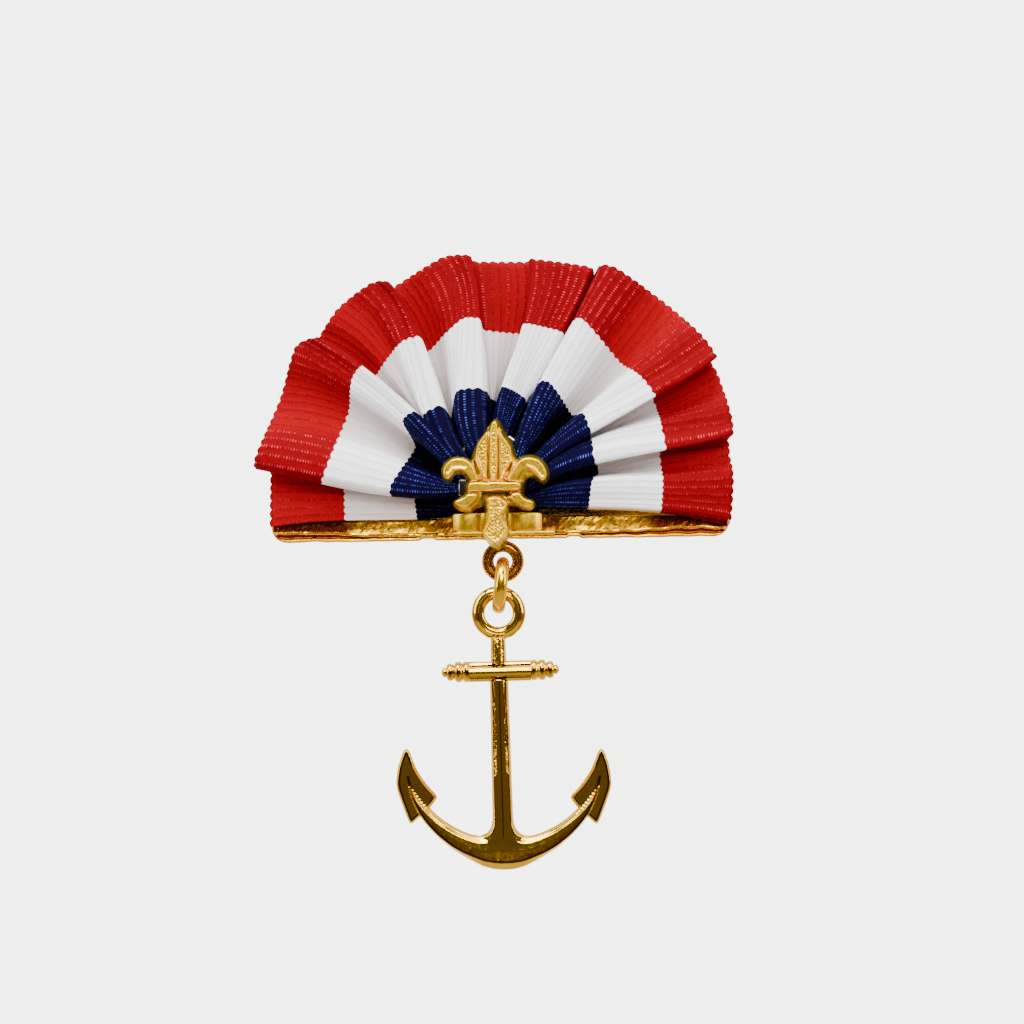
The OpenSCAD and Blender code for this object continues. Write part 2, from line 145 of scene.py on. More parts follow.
class NodeTree:
    """A node tree, with short calls for the nodes that the finishes and the surroundings share."""

    def __init__(self, tree: bpy.types.NodeTree) -> None:
        """Starts with the tree, which is cleared."""
        self.tree = tree
        tree.nodes.clear()

    def node(self, kind: str, **settings: object) -> bpy.types.Node:
        """Adds a node.

        Args:
            kind: Blender's name for the node's type.
            **settings: Values for the node's own properties.

        Returns:
            The new node.
        """
        made = self.tree.nodes.new(kind)
        for name, value in settings.items():
            setattr(made, name, value)
        return made

    def feed(self, target: Socket, value: object) -> None:
        """Gives an input its value.

        Args:
            target: The input socket.
            value: Another node's output, or a plain value.
        """
        if isinstance(value, Socket):
            self.tree.links.new(value, target)
        else:
            target.default_value = value

    def math(self, operation: str, a: object, b: object = 0.0) -> Socket:
        """Works out one sum.

        Args:
            operation: Blender's name for the operation.
            a: The first value or output.
            b: The second one.

        Returns:
            The result's output.
        """
        made = self.node("ShaderNodeMath", operation=operation)
        self.feed(made.inputs[0], a)
        self.feed(made.inputs[1], b)
        return made.outputs[0]

    def times(self, a: object, b: object) -> Socket:
        """Multiplies two values or outputs."""
        return self.math("MULTIPLY", a, b)

    def split(self, vector: Socket) -> bpy.types.NodeOutputs:
        """Splits a place or a direction.

        Args:
            vector: The place's or the direction's output.

        Returns:
            The outputs, which are named X, Y and Z.
        """
        made = self.node("ShaderNodeSeparateXYZ")
        self.feed(made.inputs[0], vector)
        return made.outputs

    def remap(
        self, value: object, low: float, high: float, to_low: float = 0.0, to_high: float = 1.0,
        interpolation: str = "SMOOTHSTEP"
    ) -> Socket:
        """Maps a range onto another and holds it at the ends.

        Args:
            value: The value or output to map.
            low: Where the range starts.
            high: Where it ends.
            to_low: What it gives at and before the start.
            to_high: What it gives at and past the end.
            interpolation: Blender's name for the way it goes from one to the other.

        Returns:
            The result's output.
        """
        made = self.node("ShaderNodeMapRange", interpolation_type=interpolation)
        for socket, number in zip(made.inputs[:5], (value, low, high, to_low, to_high)):
            self.feed(socket, number)
        return made.outputs[0]

    def mix(self, share: object, a: object, b: object, blend: str = "MIX") -> Socket:
        """Mixes two colours.

        Args:
            share: How much of the second colour, from 0 to 1.
            a: The first colour or output.
            b: The second one.
            blend: Blender's name for the way they blend.

        Returns:
            The result's output.
        """
        made = self.node("ShaderNodeMix", data_type="RGBA", blend_type=blend)
        self.feed(made.inputs[0], share)
        for socket, colour in ((made.inputs[6], a), (made.inputs[7], b)):
            self.feed(socket, (*colour, 1.0) if isinstance(colour, tuple) else colour)
        return made.outputs[2]


class Recipe(NodeTree):
    """A material's node tree, with short calls for the nodes that only the finishes need."""

    def __init__(self, name: str) -> None:
        """Starts an empty material.

        Args:
            name: The material's name.
        """
        self.material = bpy.data.materials.new(name)
        self.material.use_nodes = True
        super().__init__(self.material.node_tree)
        self.shader = self.node("ShaderNodeBsdfPrincipled")
        self.feed(self.node("ShaderNodeOutputMaterial").inputs["Surface"], self.shader.outputs["BSDF"])

    def set(self, name: str, value: object) -> None:
        """Gives one of the shader's own inputs another node's output or a plain value."""
        self.feed(self.shader.inputs[name], value)

    def object_place(self) -> Socket:
        """Gives the place on the piece in metres."""
        return self.node("ShaderNodeTexCoord").outputs["Object"]

    def marked(self, name: str) -> Socket:
        """Gives the value that the piece's own points hold under a name."""
        return self.node("ShaderNodeAttribute", attribute_name=name).outputs["Fac"]

    def cloud(self, place: Socket, size: float, detail: float = 3.0, rough: float = 0.55) -> Socket:
        """Makes a cloudy pattern with values round 0.5.

        Args:
            place: The coordinates that it reads.
            size: The size of its features in those coordinates.
            detail: How many finer layers it has.
            rough: How strong they are.

        Returns:
            The pattern's output.
        """
        made = self.node("ShaderNodeTexNoise")
        self.feed(made.inputs["Vector"], place)
        made.inputs["Scale"].default_value = 1.0 / size
        made.inputs["Detail"].default_value = detail
        made.inputs["Roughness"].default_value = rough
        return made.outputs["Fac"]

    def bump(self, height: Socket, depth: float, under: Socket | None = None) -> Socket:
        """Turns a height pattern into a bumpy normal.

        Args:
            height: The pattern.
            depth: Its depth in metres.
            under: A normal that it lies on.

        Returns:
            The normal's output.
        """
        made = self.node("ShaderNodeBump")
        made.inputs["Distance"].default_value = depth
        self.feed(made.inputs["Height"], height)
        if under is not None:
            self.feed(made.inputs["Normal"], under)
        return made.outputs["Normal"]


@dataclass(frozen=True)
class GiltFinish:
    """Gilt or plated metal, with its tone, its tarnish, the fine marks of how it was made, and painted shade where its
    piece marks it. Sizes are millimetres.
    """

    name: str
    tone: Colour
    deep: Colour
    roughness: float = 0.2
    roughness_spread: float = 0.1
    grain: float = 0.3
    grain_depth: float = 0.01
    pit_size: float = 0.5
    pit_depth: float = 0.0
    tarnish: float = 0.35
    # hollow is the tone of the painted shade, mixed in where the points' painted shade mark is high
    hollow: Colour | None = None
    painted_shade_towards: Triple | None = None
    stain_size: float = 3.5
    layers: float = 4.0
    grain_layers: float = 0.6
    least_roughness: float = 0.03
    stain_range: Point = (0.42, 0.72)
    grain_range: Point = (0.3, 0.7)
    facing_range: Point = (-0.15, 0.05)
    painted_shade_range: Point = (0.1, 0.9)
    pit_range: Point = (0.05, 0.22)

    def painted_shade_share(self, recipe: Recipe) -> Socket:
        """Gives how much of the painted shade's tone shows. Where painted_shade_towards is set, only faces that look
        there get it.

        Args:
            recipe: The material's node tree.

        Returns:
            The share's output.
        """
        painted_shade = recipe.marked(PAINTED_SHADE)
        if self.painted_shade_towards is not None:
            facing = recipe.node("ShaderNodeVectorMath", operation="DOT_PRODUCT")
            recipe.feed(facing.inputs[0], recipe.node("ShaderNodeTexCoord").outputs["Normal"])
            facing.inputs[1].default_value = self.painted_shade_towards
            painted_shade = recipe.times(painted_shade, recipe.remap(facing.outputs["Value"], *self.facing_range))
        return recipe.remap(painted_shade, *self.painted_shade_range)

    def make(self) -> bpy.types.Material:
        """Makes the material.

        Returns:
            The material.
        """
        recipe = Recipe(self.name)
        place = recipe.object_place()
        patches = recipe.cloud(place, self.stain_size * MM, self.layers)
        grain = recipe.cloud(place, self.grain * MM, self.layers, self.grain_layers)
        stain = recipe.remap(patches, *self.stain_range, 0.0, self.tarnish)
        colour = recipe.mix(stain, self.tone, self.deep)
        # painted shade: the hollow tone where the piece marks its points
        if self.hollow is not None:
            colour = recipe.mix(self.painted_shade_share(recipe), colour, self.hollow)
        recipe.set("Base Color", colour)
        recipe.set("Metallic", 1.0)
        low = max(self.least_roughness, self.roughness - self.roughness_spread)
        high = self.roughness + self.roughness_spread
        recipe.set("Roughness", recipe.remap(grain, *self.grain_range, low, high))
        normal = recipe.bump(grain, self.grain_depth * MM)
        if self.pit_depth > 0.0:
            spots = recipe.node("ShaderNodeTexVoronoi", feature="F1")
            recipe.feed(spots.inputs["Vector"], place)
            spots.inputs["Scale"].default_value = 1.0 / (self.pit_size * MM)
            pits = recipe.remap(spots.outputs["Distance"], *self.pit_range)
            normal = recipe.bump(pits, self.pit_depth * MM, normal)
        recipe.set("Normal", normal)
        return recipe.material


@dataclass(frozen=True)
class Stripe:
    """The tones of one stripe: its own tone, a painted tone for the folds that stand back (painted shade, but painted
    fill light for the red, whose tone there is lighter), a painted shade for the grooves between ribs, and the pale
    dots of the warp in them, which also serve as painted glints.
    """

    tone: Colour
    shade: Colour
    groove: Colour
    dot: Colour


@dataclass(frozen=True)
class GrosgrainFinish:
    """Ribbed ribbon in three stripes. The ribs run across it, with rows of dots from the warp between them. Folds that
    stand back and the grooves between ribs get painted shade, and the dots glint as painted highlights on crests and in
    patches.

    The ranges of four numbers give where a value starts and ends, and what it is mapped to there.
    """

    name: str = "striped_grosgrain"
    stripes: tuple[Stripe, Stripe, Stripe] = (
        # each: own tone, painted fold tone, painted groove shade, warp dot colour (also painted glints)
        Stripe((0.16, 0.0, 0.003), (0.24, 0.0, 0.004), (0.11, 0.0, 0.002), (0.65, 0.03, 0.05)),
        Stripe((0.88, 0.88, 0.93), (0.6, 0.53, 0.52), (0.42, 0.4, 0.42), (0.97, 0.97, 1.0)),
        Stripe((0.002, 0.0006, 0.0165), (0.0001, 0.0002, 0.0012), (0.0003, 0.0006, 0.004), (0.07, 0.1, 0.55)),
    )
    border_blur: float = 0.0015
    dots_across: float = 80.0
    threads_across: float = 190.0
    dot_shift: float = 0.25
    dot_edge: Point = (-0.1, 0.6)
    dot_reach: Point = (0.5, 0.25)
    dot_height: float = 1.6
    patch_size: float = 2.6
    row_glints: Box = (0.0, 0.7, 0.22, 1.0)
    own_glints: Box = (0.1, 0.8, 0.15, 1.0)
    crest_glints: Box = (0.1, 0.75, 0.25, 1.0)
    patch_glints: Box = (0.36, 0.6, 0.4, 1.0)
    fold_shade: Point = (0.85, 0.05)
    groove_shade: Box = (0.5, 0.1, 0.0, 0.5)
    thread_height: Box = (0.1, 0.6, 0.2, 0.6)
    weave_depth: float = 0.045
    roughness: float = 0.6
    gloss: float = 0.02

    def chance(self, recipe: Recipe, socket: str, value: Socket, dimensions: str) -> Socket:
        """Gives a random number that stays the same for the same value.

        Args:
            recipe: The material's node tree.
            socket: The name of the noise's input.
            value: The value's output.
            dimensions: Blender's name for the kind of value.

        Returns:
            The number's output.
        """
        made = recipe.node("ShaderNodeTexWhiteNoise", noise_dimensions=dimensions)
        recipe.feed(made.inputs[socket], value)
        return made.outputs["Value"]

    def make(self) -> bpy.types.Material:
        """Makes the material, which reads the ribbon's own map: ribs along it and the share of its width.

        Returns:
            The material.
        """
        recipe = Recipe(self.name)
        times, remap = recipe.times, recipe.remap
        weave = recipe.split(recipe.node("ShaderNodeUVMap", uv_map="weave").outputs["UV"])
        ribs, across = weave["X"], weave["Y"]
        crest, openness = recipe.marked("crest"), recipe.marked("openness")

        swell = recipe.math("ABSOLUTE", recipe.math("SINE", times(ribs, math.pi)))
        row = recipe.math("FLOOR", recipe.math("ADD", ribs, 0.5))
        row_chance = self.chance(recipe, "W", row, "1D")
        place = recipe.math("ADD", times(across, self.dots_across), row_chance)
        pulse = recipe.math("SINE", times(place, 2.0 * math.pi))
        pair = recipe.node("ShaderNodeCombineXYZ")
        recipe.feed(pair.inputs[0], row)
        recipe.feed(pair.inputs[1], recipe.math("FLOOR", recipe.math("ADD", place, self.dot_shift)))
        own_chance = self.chance(recipe, "Vector", pair.outputs[0], "2D")
        dot = times(remap(pulse, *self.dot_edge), remap(swell, *self.dot_reach))

        patches = recipe.cloud(recipe.object_place(), self.patch_size * MM)
        # painted highlights: the dots show most on random rows, on random dots, on crests and in cloudy patches
        dot_share = dot
        for value, glints in (
            (row_chance, self.row_glints),
            (own_chance, self.own_glints),
            (crest, self.crest_glints),
            (patches, self.patch_glints),
        ):
            dot_share = times(dot_share, remap(value, *glints))

        wave = times(recipe.math("SUBTRACT", swell, 0.5), SCALLOP)
        width = recipe.math("ADD", across, times(wave, openness))
        # painted shade: folds that stand back and the grooves between ribs take the stripe's shade and groove tones
        fold_share = remap(crest, *self.fold_shade)
        groove_share = remap(swell, *self.groove_shade)
        colour = None
        for stripe, border in zip(self.stripes, (None, *STRIPE_BORDERS)):
            ground = recipe.mix(groove_share, recipe.mix(fold_share, stripe.tone, stripe.shade), stripe.groove)
            dotted = recipe.mix(dot_share, ground, stripe.dot)
            past = None if border is None else remap(width, border - self.border_blur, border + self.border_blur)
            colour = dotted if past is None else recipe.mix(past, colour, dotted)
        recipe.set("Base Color", colour)

        threads = recipe.math("SINE", times(across, self.threads_across * 2.0 * math.pi))
        height = recipe.math("ADD", times(threads, remap(swell, *self.thread_height)), times(dot, self.dot_height))
        recipe.set("Normal", recipe.bump(height, self.weave_depth * MM))
        recipe.set("Roughness", self.roughness)
        recipe.set("Specular IOR Level", self.gloss)
        return recipe.material


@dataclass(frozen=True)
class FloorFinish:
    """A plain pale floor."""

    name: str = "pale_floor"
    tone: Colour = (0.86, 0.85, 0.83)
    mirrored: Colour = (0.34, 0.31, 0.27)
    glow: float = 2.9
    glow_behind: float = 1.1
    behind: Point = (0.1, 0.9)
    roughness: float = 0.8

    def make(self) -> bpy.types.Material:
        """Makes the material.

        It looks as pale as the surroundings. Metal mirrors it shaded, but bright far behind the brooch.

        Returns:
            The material.
        """
        recipe = Recipe(self.name)
        path = recipe.node("ShaderNodeLightPath")
        recipe.set("Base Color", recipe.mix(path.outputs["Is Glossy Ray"], self.tone, self.mirrored))
        recipe.set("Emission Color", (*self.tone, 1.0))
        place = recipe.split(recipe.object_place())
        behind = recipe.remap(place["Y"], *self.behind, 0.0, self.glow_behind)
        mirrored = recipe.times(path.outputs["Is Glossy Ray"], behind)
        seen = recipe.times(path.outputs["Is Camera Ray"], self.glow)
        recipe.set("Emission Strength", recipe.math("ADD", seen, mirrored))
        recipe.set("Roughness", self.roughness)
        return recipe.material


FINISHES: dict[Slot, GiltFinish | GrosgrainFinish] = {
    Slot.RIBBON: GrosgrainFinish(),
    Slot.SHEET: GiltFinish(
        "crinkled_gilt", (0.82, 0.44, 0.0), (0.55, 0.27, 0.0), 0.28, 0.08, 0.7, 0.008, tarnish=0.3,
        # hollow: painted shade in the cove and the lip, reddish as a painted reflection of the ribbon, only on faces
        # that look forward and up
        hollow=(0.12, 0.014, 0.0), painted_shade_towards=(0.0, -0.7, 0.7)
    ),
    Slot.BRUSHED: GiltFinish("brushed_gilt", (0.94, 0.57, 0.0), (0.7, 0.4, 0.0), 0.36, 0.06, 0.5, 0.004, tarnish=0.2),
    Slot.MATTE: GiltFinish(
        # hollow: painted shade in the fleur-de-lis's low places
        "matte_gilt", (1.0, 0.61, 0.0), (0.9, 0.5, 0.0), 0.33, 0.06, 0.4, 0.004, tarnish=0.1, hollow=(0.44, 0.37, 0.0)
    ),
    Slot.SILVER: GiltFinish(
        # hollow: a dark painted reflection on the tab's flat front
        "silvered", (0.86, 0.86, 0.88), (0.4, 0.38, 0.37), 0.16, 0.06, 0.2, 0.006, hollow=(0.12, 0.115, 0.11)
    ),
    Slot.DARK: GiltFinish(
        # hollow: painted shade in the eye's channel
        "coppery_gilt", (0.8, 0.42, 0.0), (0.5, 0.23, 0.0), 0.22, 0.06, 0.2, 0.01, tarnish=0.4, hollow=(0.34, 0.15, 0.0)
    ),
    Slot.STEEL: GiltFinish("plain_steel", (0.62, 0.62, 0.63), (0.42, 0.41, 0.4), 0.3, 0.08, 0.3, 0.006),
    Slot.SATIN: GiltFinish("satin_gilt", (0.84, 0.46, 0.0), (0.5, 0.24, 0.0), 0.22, 0.05, 0.3, 0.006, tarnish=0.3),
    Slot.POLISHED: GiltFinish(
        "polished_gilt", (0.84, 0.48, 0.012), (0.6, 0.3, 0.008), 0.1, 0.05, 0.6, 0.005, pit_size=1.4, pit_depth=0.008,
        # hollow: painted shade in the anchor's steps, grooves and bead middles, and beside and under its walls
        tarnish=0.4, hollow=(0.09, 0.03, 0.0)
    ),
}


class Wardrobe:
    """Makes each finish once and gives it to the pieces."""

    def __init__(self) -> None:
        """Starts with nothing made."""
        self.made: dict[Slot, bpy.types.Material] = {}

    def dress(self, piece: bpy.types.Object, slot: Slot) -> None:
        """Gives a piece its finish.

        Args:
            piece: The piece.
            slot: The record's slot for it.
        """
        if slot not in self.made:
            self.made[slot] = FINISHES[slot].make()
        piece.data.materials.clear()
        piece.data.materials.append(self.made[slot])


# Ways of making a mesh


def ramp(value: np.ndarray, start: float, over: float | np.ndarray, rise: float = 1.0) -> np.ndarray:
    """Goes smoothly from 0 at a start to its rise at the start plus over, and stays there."""
    held = np.clip((value - start) / over, 0.0, 1.0)
    return rise * (held * held * (3.0 - 2.0 * held))


def bell(value: np.ndarray, middle: float, half: float) -> np.ndarray:
    """Gives 1 at a middle value, and soon 0 on both sides of it."""
    return np.exp(-(((value - middle) / half) ** 2))


def rounded(outline: Sequence[Point], rounds: int = 2) -> np.ndarray:
    """Rounds a closed outline by cutting its corners.

    Args:
        outline: The outline's points.
        rounds: How many times the corners are cut.

    Returns:
        The rounded outline.
    """
    points = np.array(outline, float)
    kept = 1.0 - CORNER_CUT
    for _ in range(rounds):
        after = np.roll(points, -1, axis=0)
        pairs = (kept * points + CORNER_CUT * after, CORNER_CUT * points + kept * after)
        points = np.stack(pairs, axis=1).reshape(-1, 2)
    return points


def depth_inside(outline: np.ndarray, at: np.ndarray) -> np.ndarray:
    """Measures how deep points lie inside an outline, with less than 0 outside it.

    Args:
        outline: The closed outline.
        at: The points.

    Returns:
        The distance of each point from the outline.
    """
    nearest = np.full(len(at), np.inf)
    inside = np.zeros(len(at), bool)
    for a, b in zip(outline, np.roll(outline, -1, axis=0)):
        side = b - a
        length = max(float(side @ side), TINY * TINY)
        along = np.clip(((at - a) @ side) / length, 0.0, 1.0)
        gap = at - a - along[:, None] * side
        nearest = np.minimum(nearest, np.einsum("ij,ij->i", gap, gap))
        if a[1] != b[1]:
            crosses = (a[1] > at[:, 1]) != (b[1] > at[:, 1])
            inside ^= crosses & (at[:, 0] < a[0] + (at[:, 1] - a[1]) * side[0] / side[1])
    return np.where(inside, 1.0, -1.0) * np.sqrt(nearest)


def grain_at(at: np.ndarray, size: float, seed: float = 0.0) -> np.ndarray:
    """Gives an even random pattern of features of a size, from about -1 to 1. Each seed has its own."""
    return np.array([noise.noise(Vector((p[0] / size + seed, p[1] / size - seed, seed))) for p in at])


def points_of(made: Sequence[object]) -> list[bmesh.types.BMVert]:
    """Picks the points out of what an operator made."""
    return [item for item in made if isinstance(item, bmesh.types.BMVert)]


def rim_of(mesh: Form) -> list[bmesh.types.BMEdge]:
    """Picks a form's open edges."""
    return [edge for edge in mesh.edges if edge.is_boundary]


def at_mm(x: float, out: float, z: float) -> Matrix:
    """Gives the move to a place in millimetres."""
    return Matrix.Translation(Vector((x, -out, z)) * MM)


def turn_about(axis: str, degrees: float) -> Matrix:
    """Gives a turn about an axis."""
    return Matrix.Rotation(math.radians(degrees), 4, axis)


def mirrored(half: Sequence[Point]) -> list[Point]:
    """Closes half of a section with its mirror image."""
    return [*half, *((r, -h) for r, h in reversed(half))]


def wire_section(ring_r: float, wire_r: float, points: int) -> list[Point]:
    """Gives the round section of a wire ring, as radius and out for each of its points."""
    turns = [2 * math.pi * k / points for k in range(points)]
    return [(ring_r + wire_r * math.cos(a), wire_r * math.sin(a)) for a in turns]


def mark(mesh: Form, values: Sequence[float], name: str = PAINTED_SHADE) -> None:
    """Gives each point of a form a value that its finish reads.

    Args:
        mesh: The form.
        values: The value for each point.
        name: The name that the finish knows it by.
    """
    layer = mesh.verts.layers.float.get(name) or mesh.verts.layers.float.new(name)
    for vert, value in zip(mesh.verts, values):
        vert[layer] = value


def mark_painted_shade(mesh: Form, depth: Field) -> None:
    """Marks how much painted shade each point gets, from 0 to 1, as a function of its place in millimetres gives it."""
    mark(mesh, depth(np.array([v.co for v in mesh.verts]) / MM))


def unit_grid(columns: int, rows: int) -> tuple[Form, np.ndarray]:
    """Makes a flat grid.

    Args:
        columns: How many squares it has along it.
        rows: How many squares it has across.

    Returns:
        The grid, and the shares along and across for each of its points, both from 0 to 1.
    """
    mesh = bmesh.new()
    bmesh.ops.create_grid(mesh, x_segments=columns, y_segments=rows, size=0.5)
    return mesh, np.clip(np.array([v.co[:2] for v in mesh.verts]) + 0.5, 0.0, 1.0)


def laid_grid(
    columns: int,
    rows: int,
    place: GridField,
    painted_shade: GridField,
) -> Form:
    """Makes a sheet by moving the points of a grid.

    Args:
        columns: How many squares the grid has along it.
        rows: How many squares it has across.
        place: Gives the places in millimetres for shares along and across, both from 0 to 1.
        painted_shade: Gives how much painted shade the points get, for the same shares.

    Returns:
        The sheet.
    """
    mesh, shares = unit_grid(columns, rows)
    along, across = shares.T
    for vert, co in zip(mesh.verts, place(along, across) * MM):
        vert.co = co
    mark(mesh, painted_shade(along, across))
    return mesh


def turned(profile: Sequence[Point], closed: bool, steps: int = 96) -> Form:
    """Turns a profile about the Y axis.

    Args:
        profile: Radius and out for each of its points, in millimetres.
        closed: Whether the profile is a loop, as for a ring.
        steps: How many steps the turn has.

    Returns:
        The turned form.
    """
    mesh = bmesh.new()
    verts = [mesh.verts.new((r * MM, -out * MM, 0.0)) for r, out in profile]
    pairs = list(zip(verts, verts[1:])) + ([(verts[-1], verts[0])] if closed else [])
    edges = [mesh.edges.new(pair) for pair in pairs]
    bmesh.ops.spin(
        mesh, geom=verts + edges, cent=(0, 0, 0), axis=(0, 1, 0), angle=2 * math.pi, steps=steps, use_merge=True
    )
    bmesh.ops.remove_doubles(mesh, verts=mesh.verts, dist=WELD)
    bmesh.ops.recalc_face_normals(mesh, faces=mesh.faces)
    return mesh


def block(corners: Sequence[Triple], lift: Triple, edge: float) -> Form:
    """Grows a flat face into a block and bevels its corners. All sizes are in millimetres.

    Args:
        corners: The face's corners.
        lift: The way from the face to the block's other end.
        edge: The width of the bevels.

    Returns:
        The block.
    """
    mesh = bmesh.new()
    face = mesh.faces.new([mesh.verts.new([value * MM for value in corner]) for corner in corners])
    grown = bmesh.ops.extrude_face_region(mesh, geom=[face])["geom"]
    bmesh.ops.translate(mesh, verts=points_of(grown), vec=[value * MM for value in lift])
    bmesh.ops.recalc_face_normals(mesh, faces=mesh.faces)
    sharp = [e for e in mesh.edges if e.calc_face_angle(0.0) > math.radians(CORNER_DEG)]
    bmesh.ops.bevel(
        mesh, geom=sharp, offset=edge * MM, affect="EDGES", segments=3, profile=0.5, material=-1, clamp_overlap=True
    )
    return mesh


def plate(box: Box, back_out: float, front_out: float, edge: float) -> Form:
    """Makes a plain plate with bevelled edges.

    Args:
        box: Its lowest and highest X and then Z.
        back_out: How far out its back is.
        front_out: How far out its front is.
        edge: The width of the bevels.

    Returns:
        The plate.
    """
    left, right, low, high = box
    corners = [(x, -back_out, z) for x, z in ((left, low), (right, low), (right, high), (left, high))]
    return block(corners, (0.0, back_out - front_out, 0.0), edge)


def on_outline(at: np.ndarray, inside: Field) -> np.ndarray:
    """Moves points that lie near an outline onto it.

    Args:
        at: The points.
        inside: How deep points lie inside the outline.

    Returns:
        The moved points.
    """
    probe, least_slope, rounds = 0.01, 0.3, 2
    for _ in range(rounds):
        here = inside(at)
        sides = [(inside(at + d) - inside(at - d)) / (2 * probe) for d in np.eye(2) * probe]
        slope = np.stack(sides, axis=1)
        at = at - here[:, None] * slope / np.maximum((slope**2).sum(axis=1), least_slope)[:, None]
    return at


def relief(
    box: Box,
    step: float,
    inside: Field,
    height: Field,
    painted_shade: GridField,
    back_out: float = 0.0,
    two_sided: bool = False,
    base: float = 0.15,
) -> Form:
    """Makes a cast relief from a height for each point of its front.

    Args:
        box: The lowest and highest X and then Z of the ground that it covers.
        step: The distance between the points.
        inside: How deep points lie inside the outline.
        height: How far the front stands in front of the back at the points.
        painted_shade: How much painted shade the points get, from their places and their heights.
        back_out: How far out the back is.
        two_sided: Whether the back is the front's mirror image and not flat.
        base: How thick it is where its height is 0.

    Returns:
        The relief.
    """
    left, right, low, high = box
    mesh, shares = unit_grid(round((right - left) / step), round((high - low) / step))
    at = shares * [right - left, high - low] + [left, low]
    depth = inside(at)
    near = np.flatnonzero((depth < 0.0) & (depth > -2.0 * step))
    at[near] = on_outline(at[near], inside)
    rise = np.where(depth > 0.0, height(at), 0.0)
    for vert, (x, z), up in zip(mesh.verts, at, rise):
        vert.co = Vector((x, -(back_out + base + up), z)) * MM
    mark(mesh, painted_shade(at, rise))
    mesh.verts.ensure_lookup_table()
    outer = [f for f in mesh.faces if all(depth[v.index] < 0.0 for v in f.verts)]
    bmesh.ops.delete(mesh, geom=outer, context="FACES")
    grown = bmesh.ops.extrude_edge_only(mesh, edges=rim_of(mesh))["geom"]
    for vert in points_of(grown):
        vert.co.y = -back_out * MM
    if two_sided:
        everything = [*mesh.verts, *mesh.edges, *mesh.faces]
        bmesh.ops.mirror(mesh, geom=everything, matrix=Matrix.Identity(4), merge_dist=WELD, axis="Y")
    else:
        bmesh.ops.holes_fill(mesh, edges=rim_of(mesh), sides=0)
    bmesh.ops.recalc_face_normals(mesh, faces=mesh.faces)
    return mesh


def gather(into: Form, part: Form, place: Matrix | None = None) -> None:
    """Adds one form to another and drops it.

    Args:
        into: The form that grows.
        part: The form that is added.
        place: Where the added form goes.
    """
    if place is not None:
        bmesh.ops.transform(part, matrix=place, verts=part.verts)
    made = bpy.data.meshes.new("part")
    part.to_mesh(made)
    part.free()
    into.from_mesh(made)
    bpy.data.meshes.remove(made)


def as_piece(mesh: Form, name: str, sharp_deg: float = 40.0) -> bpy.types.Object:
    """Turns a form into an object with smooth faces and crisp edges.

    Args:
        mesh: The form, which is dropped.
        name: The object's name.
        sharp_deg: Edges that turn by more than this stay crisp.

    Returns:
        The object.
    """
    data = bpy.data.meshes.new(name)
    mesh.to_mesh(data)
    mesh.free()
    data.polygons.foreach_set("use_smooth", [True] * len(data.polygons))
    data.set_sharp_from_angle(angle=math.radians(sharp_deg))
    made = bpy.data.objects.new(name, data)
    bpy.context.scene.collection.objects.link(made)
    return made


def thicken(piece: bpy.types.Object, thickness: float) -> None:
    """Gives a sheet its thickness, half of it to each side.

    Args:
        piece: The sheet.
        thickness: The thickness in millimetres.
    """
    wall = piece.modifiers.new("wall", "SOLIDIFY")
    wall.thickness = thickness * MM
    wall.offset = 0.0


def settle(piece: bpy.types.Object, body: Body, slot: Slot, wardrobe: Wardrobe, node: str) -> None:
    """Dresses a piece, puts it on its body and lets it stand for its CAD node.

    Args:
        piece: The piece.
        body: The body that it rides on.
        slot: The record's slot for its finish.
        wardrobe: The finishes.
        node: The CAD node that it stands for.
    """
    wardrobe.dress(piece, slot)
    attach(piece, body.value)
    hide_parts(node)
    log.info("%s: %d faces on %s", piece.name, len(piece.data.polygons), body.value)


# The ribbon


@dataclass(frozen=True)
class FoldLine:
    """One line of the ribbon's folds: where it crosses the outer selvedge, the two borders and the gathers."""

    edge: Point
    red_end: Point
    white_end: Point
    gather: Point
    outs: tuple[float, float, float, float]


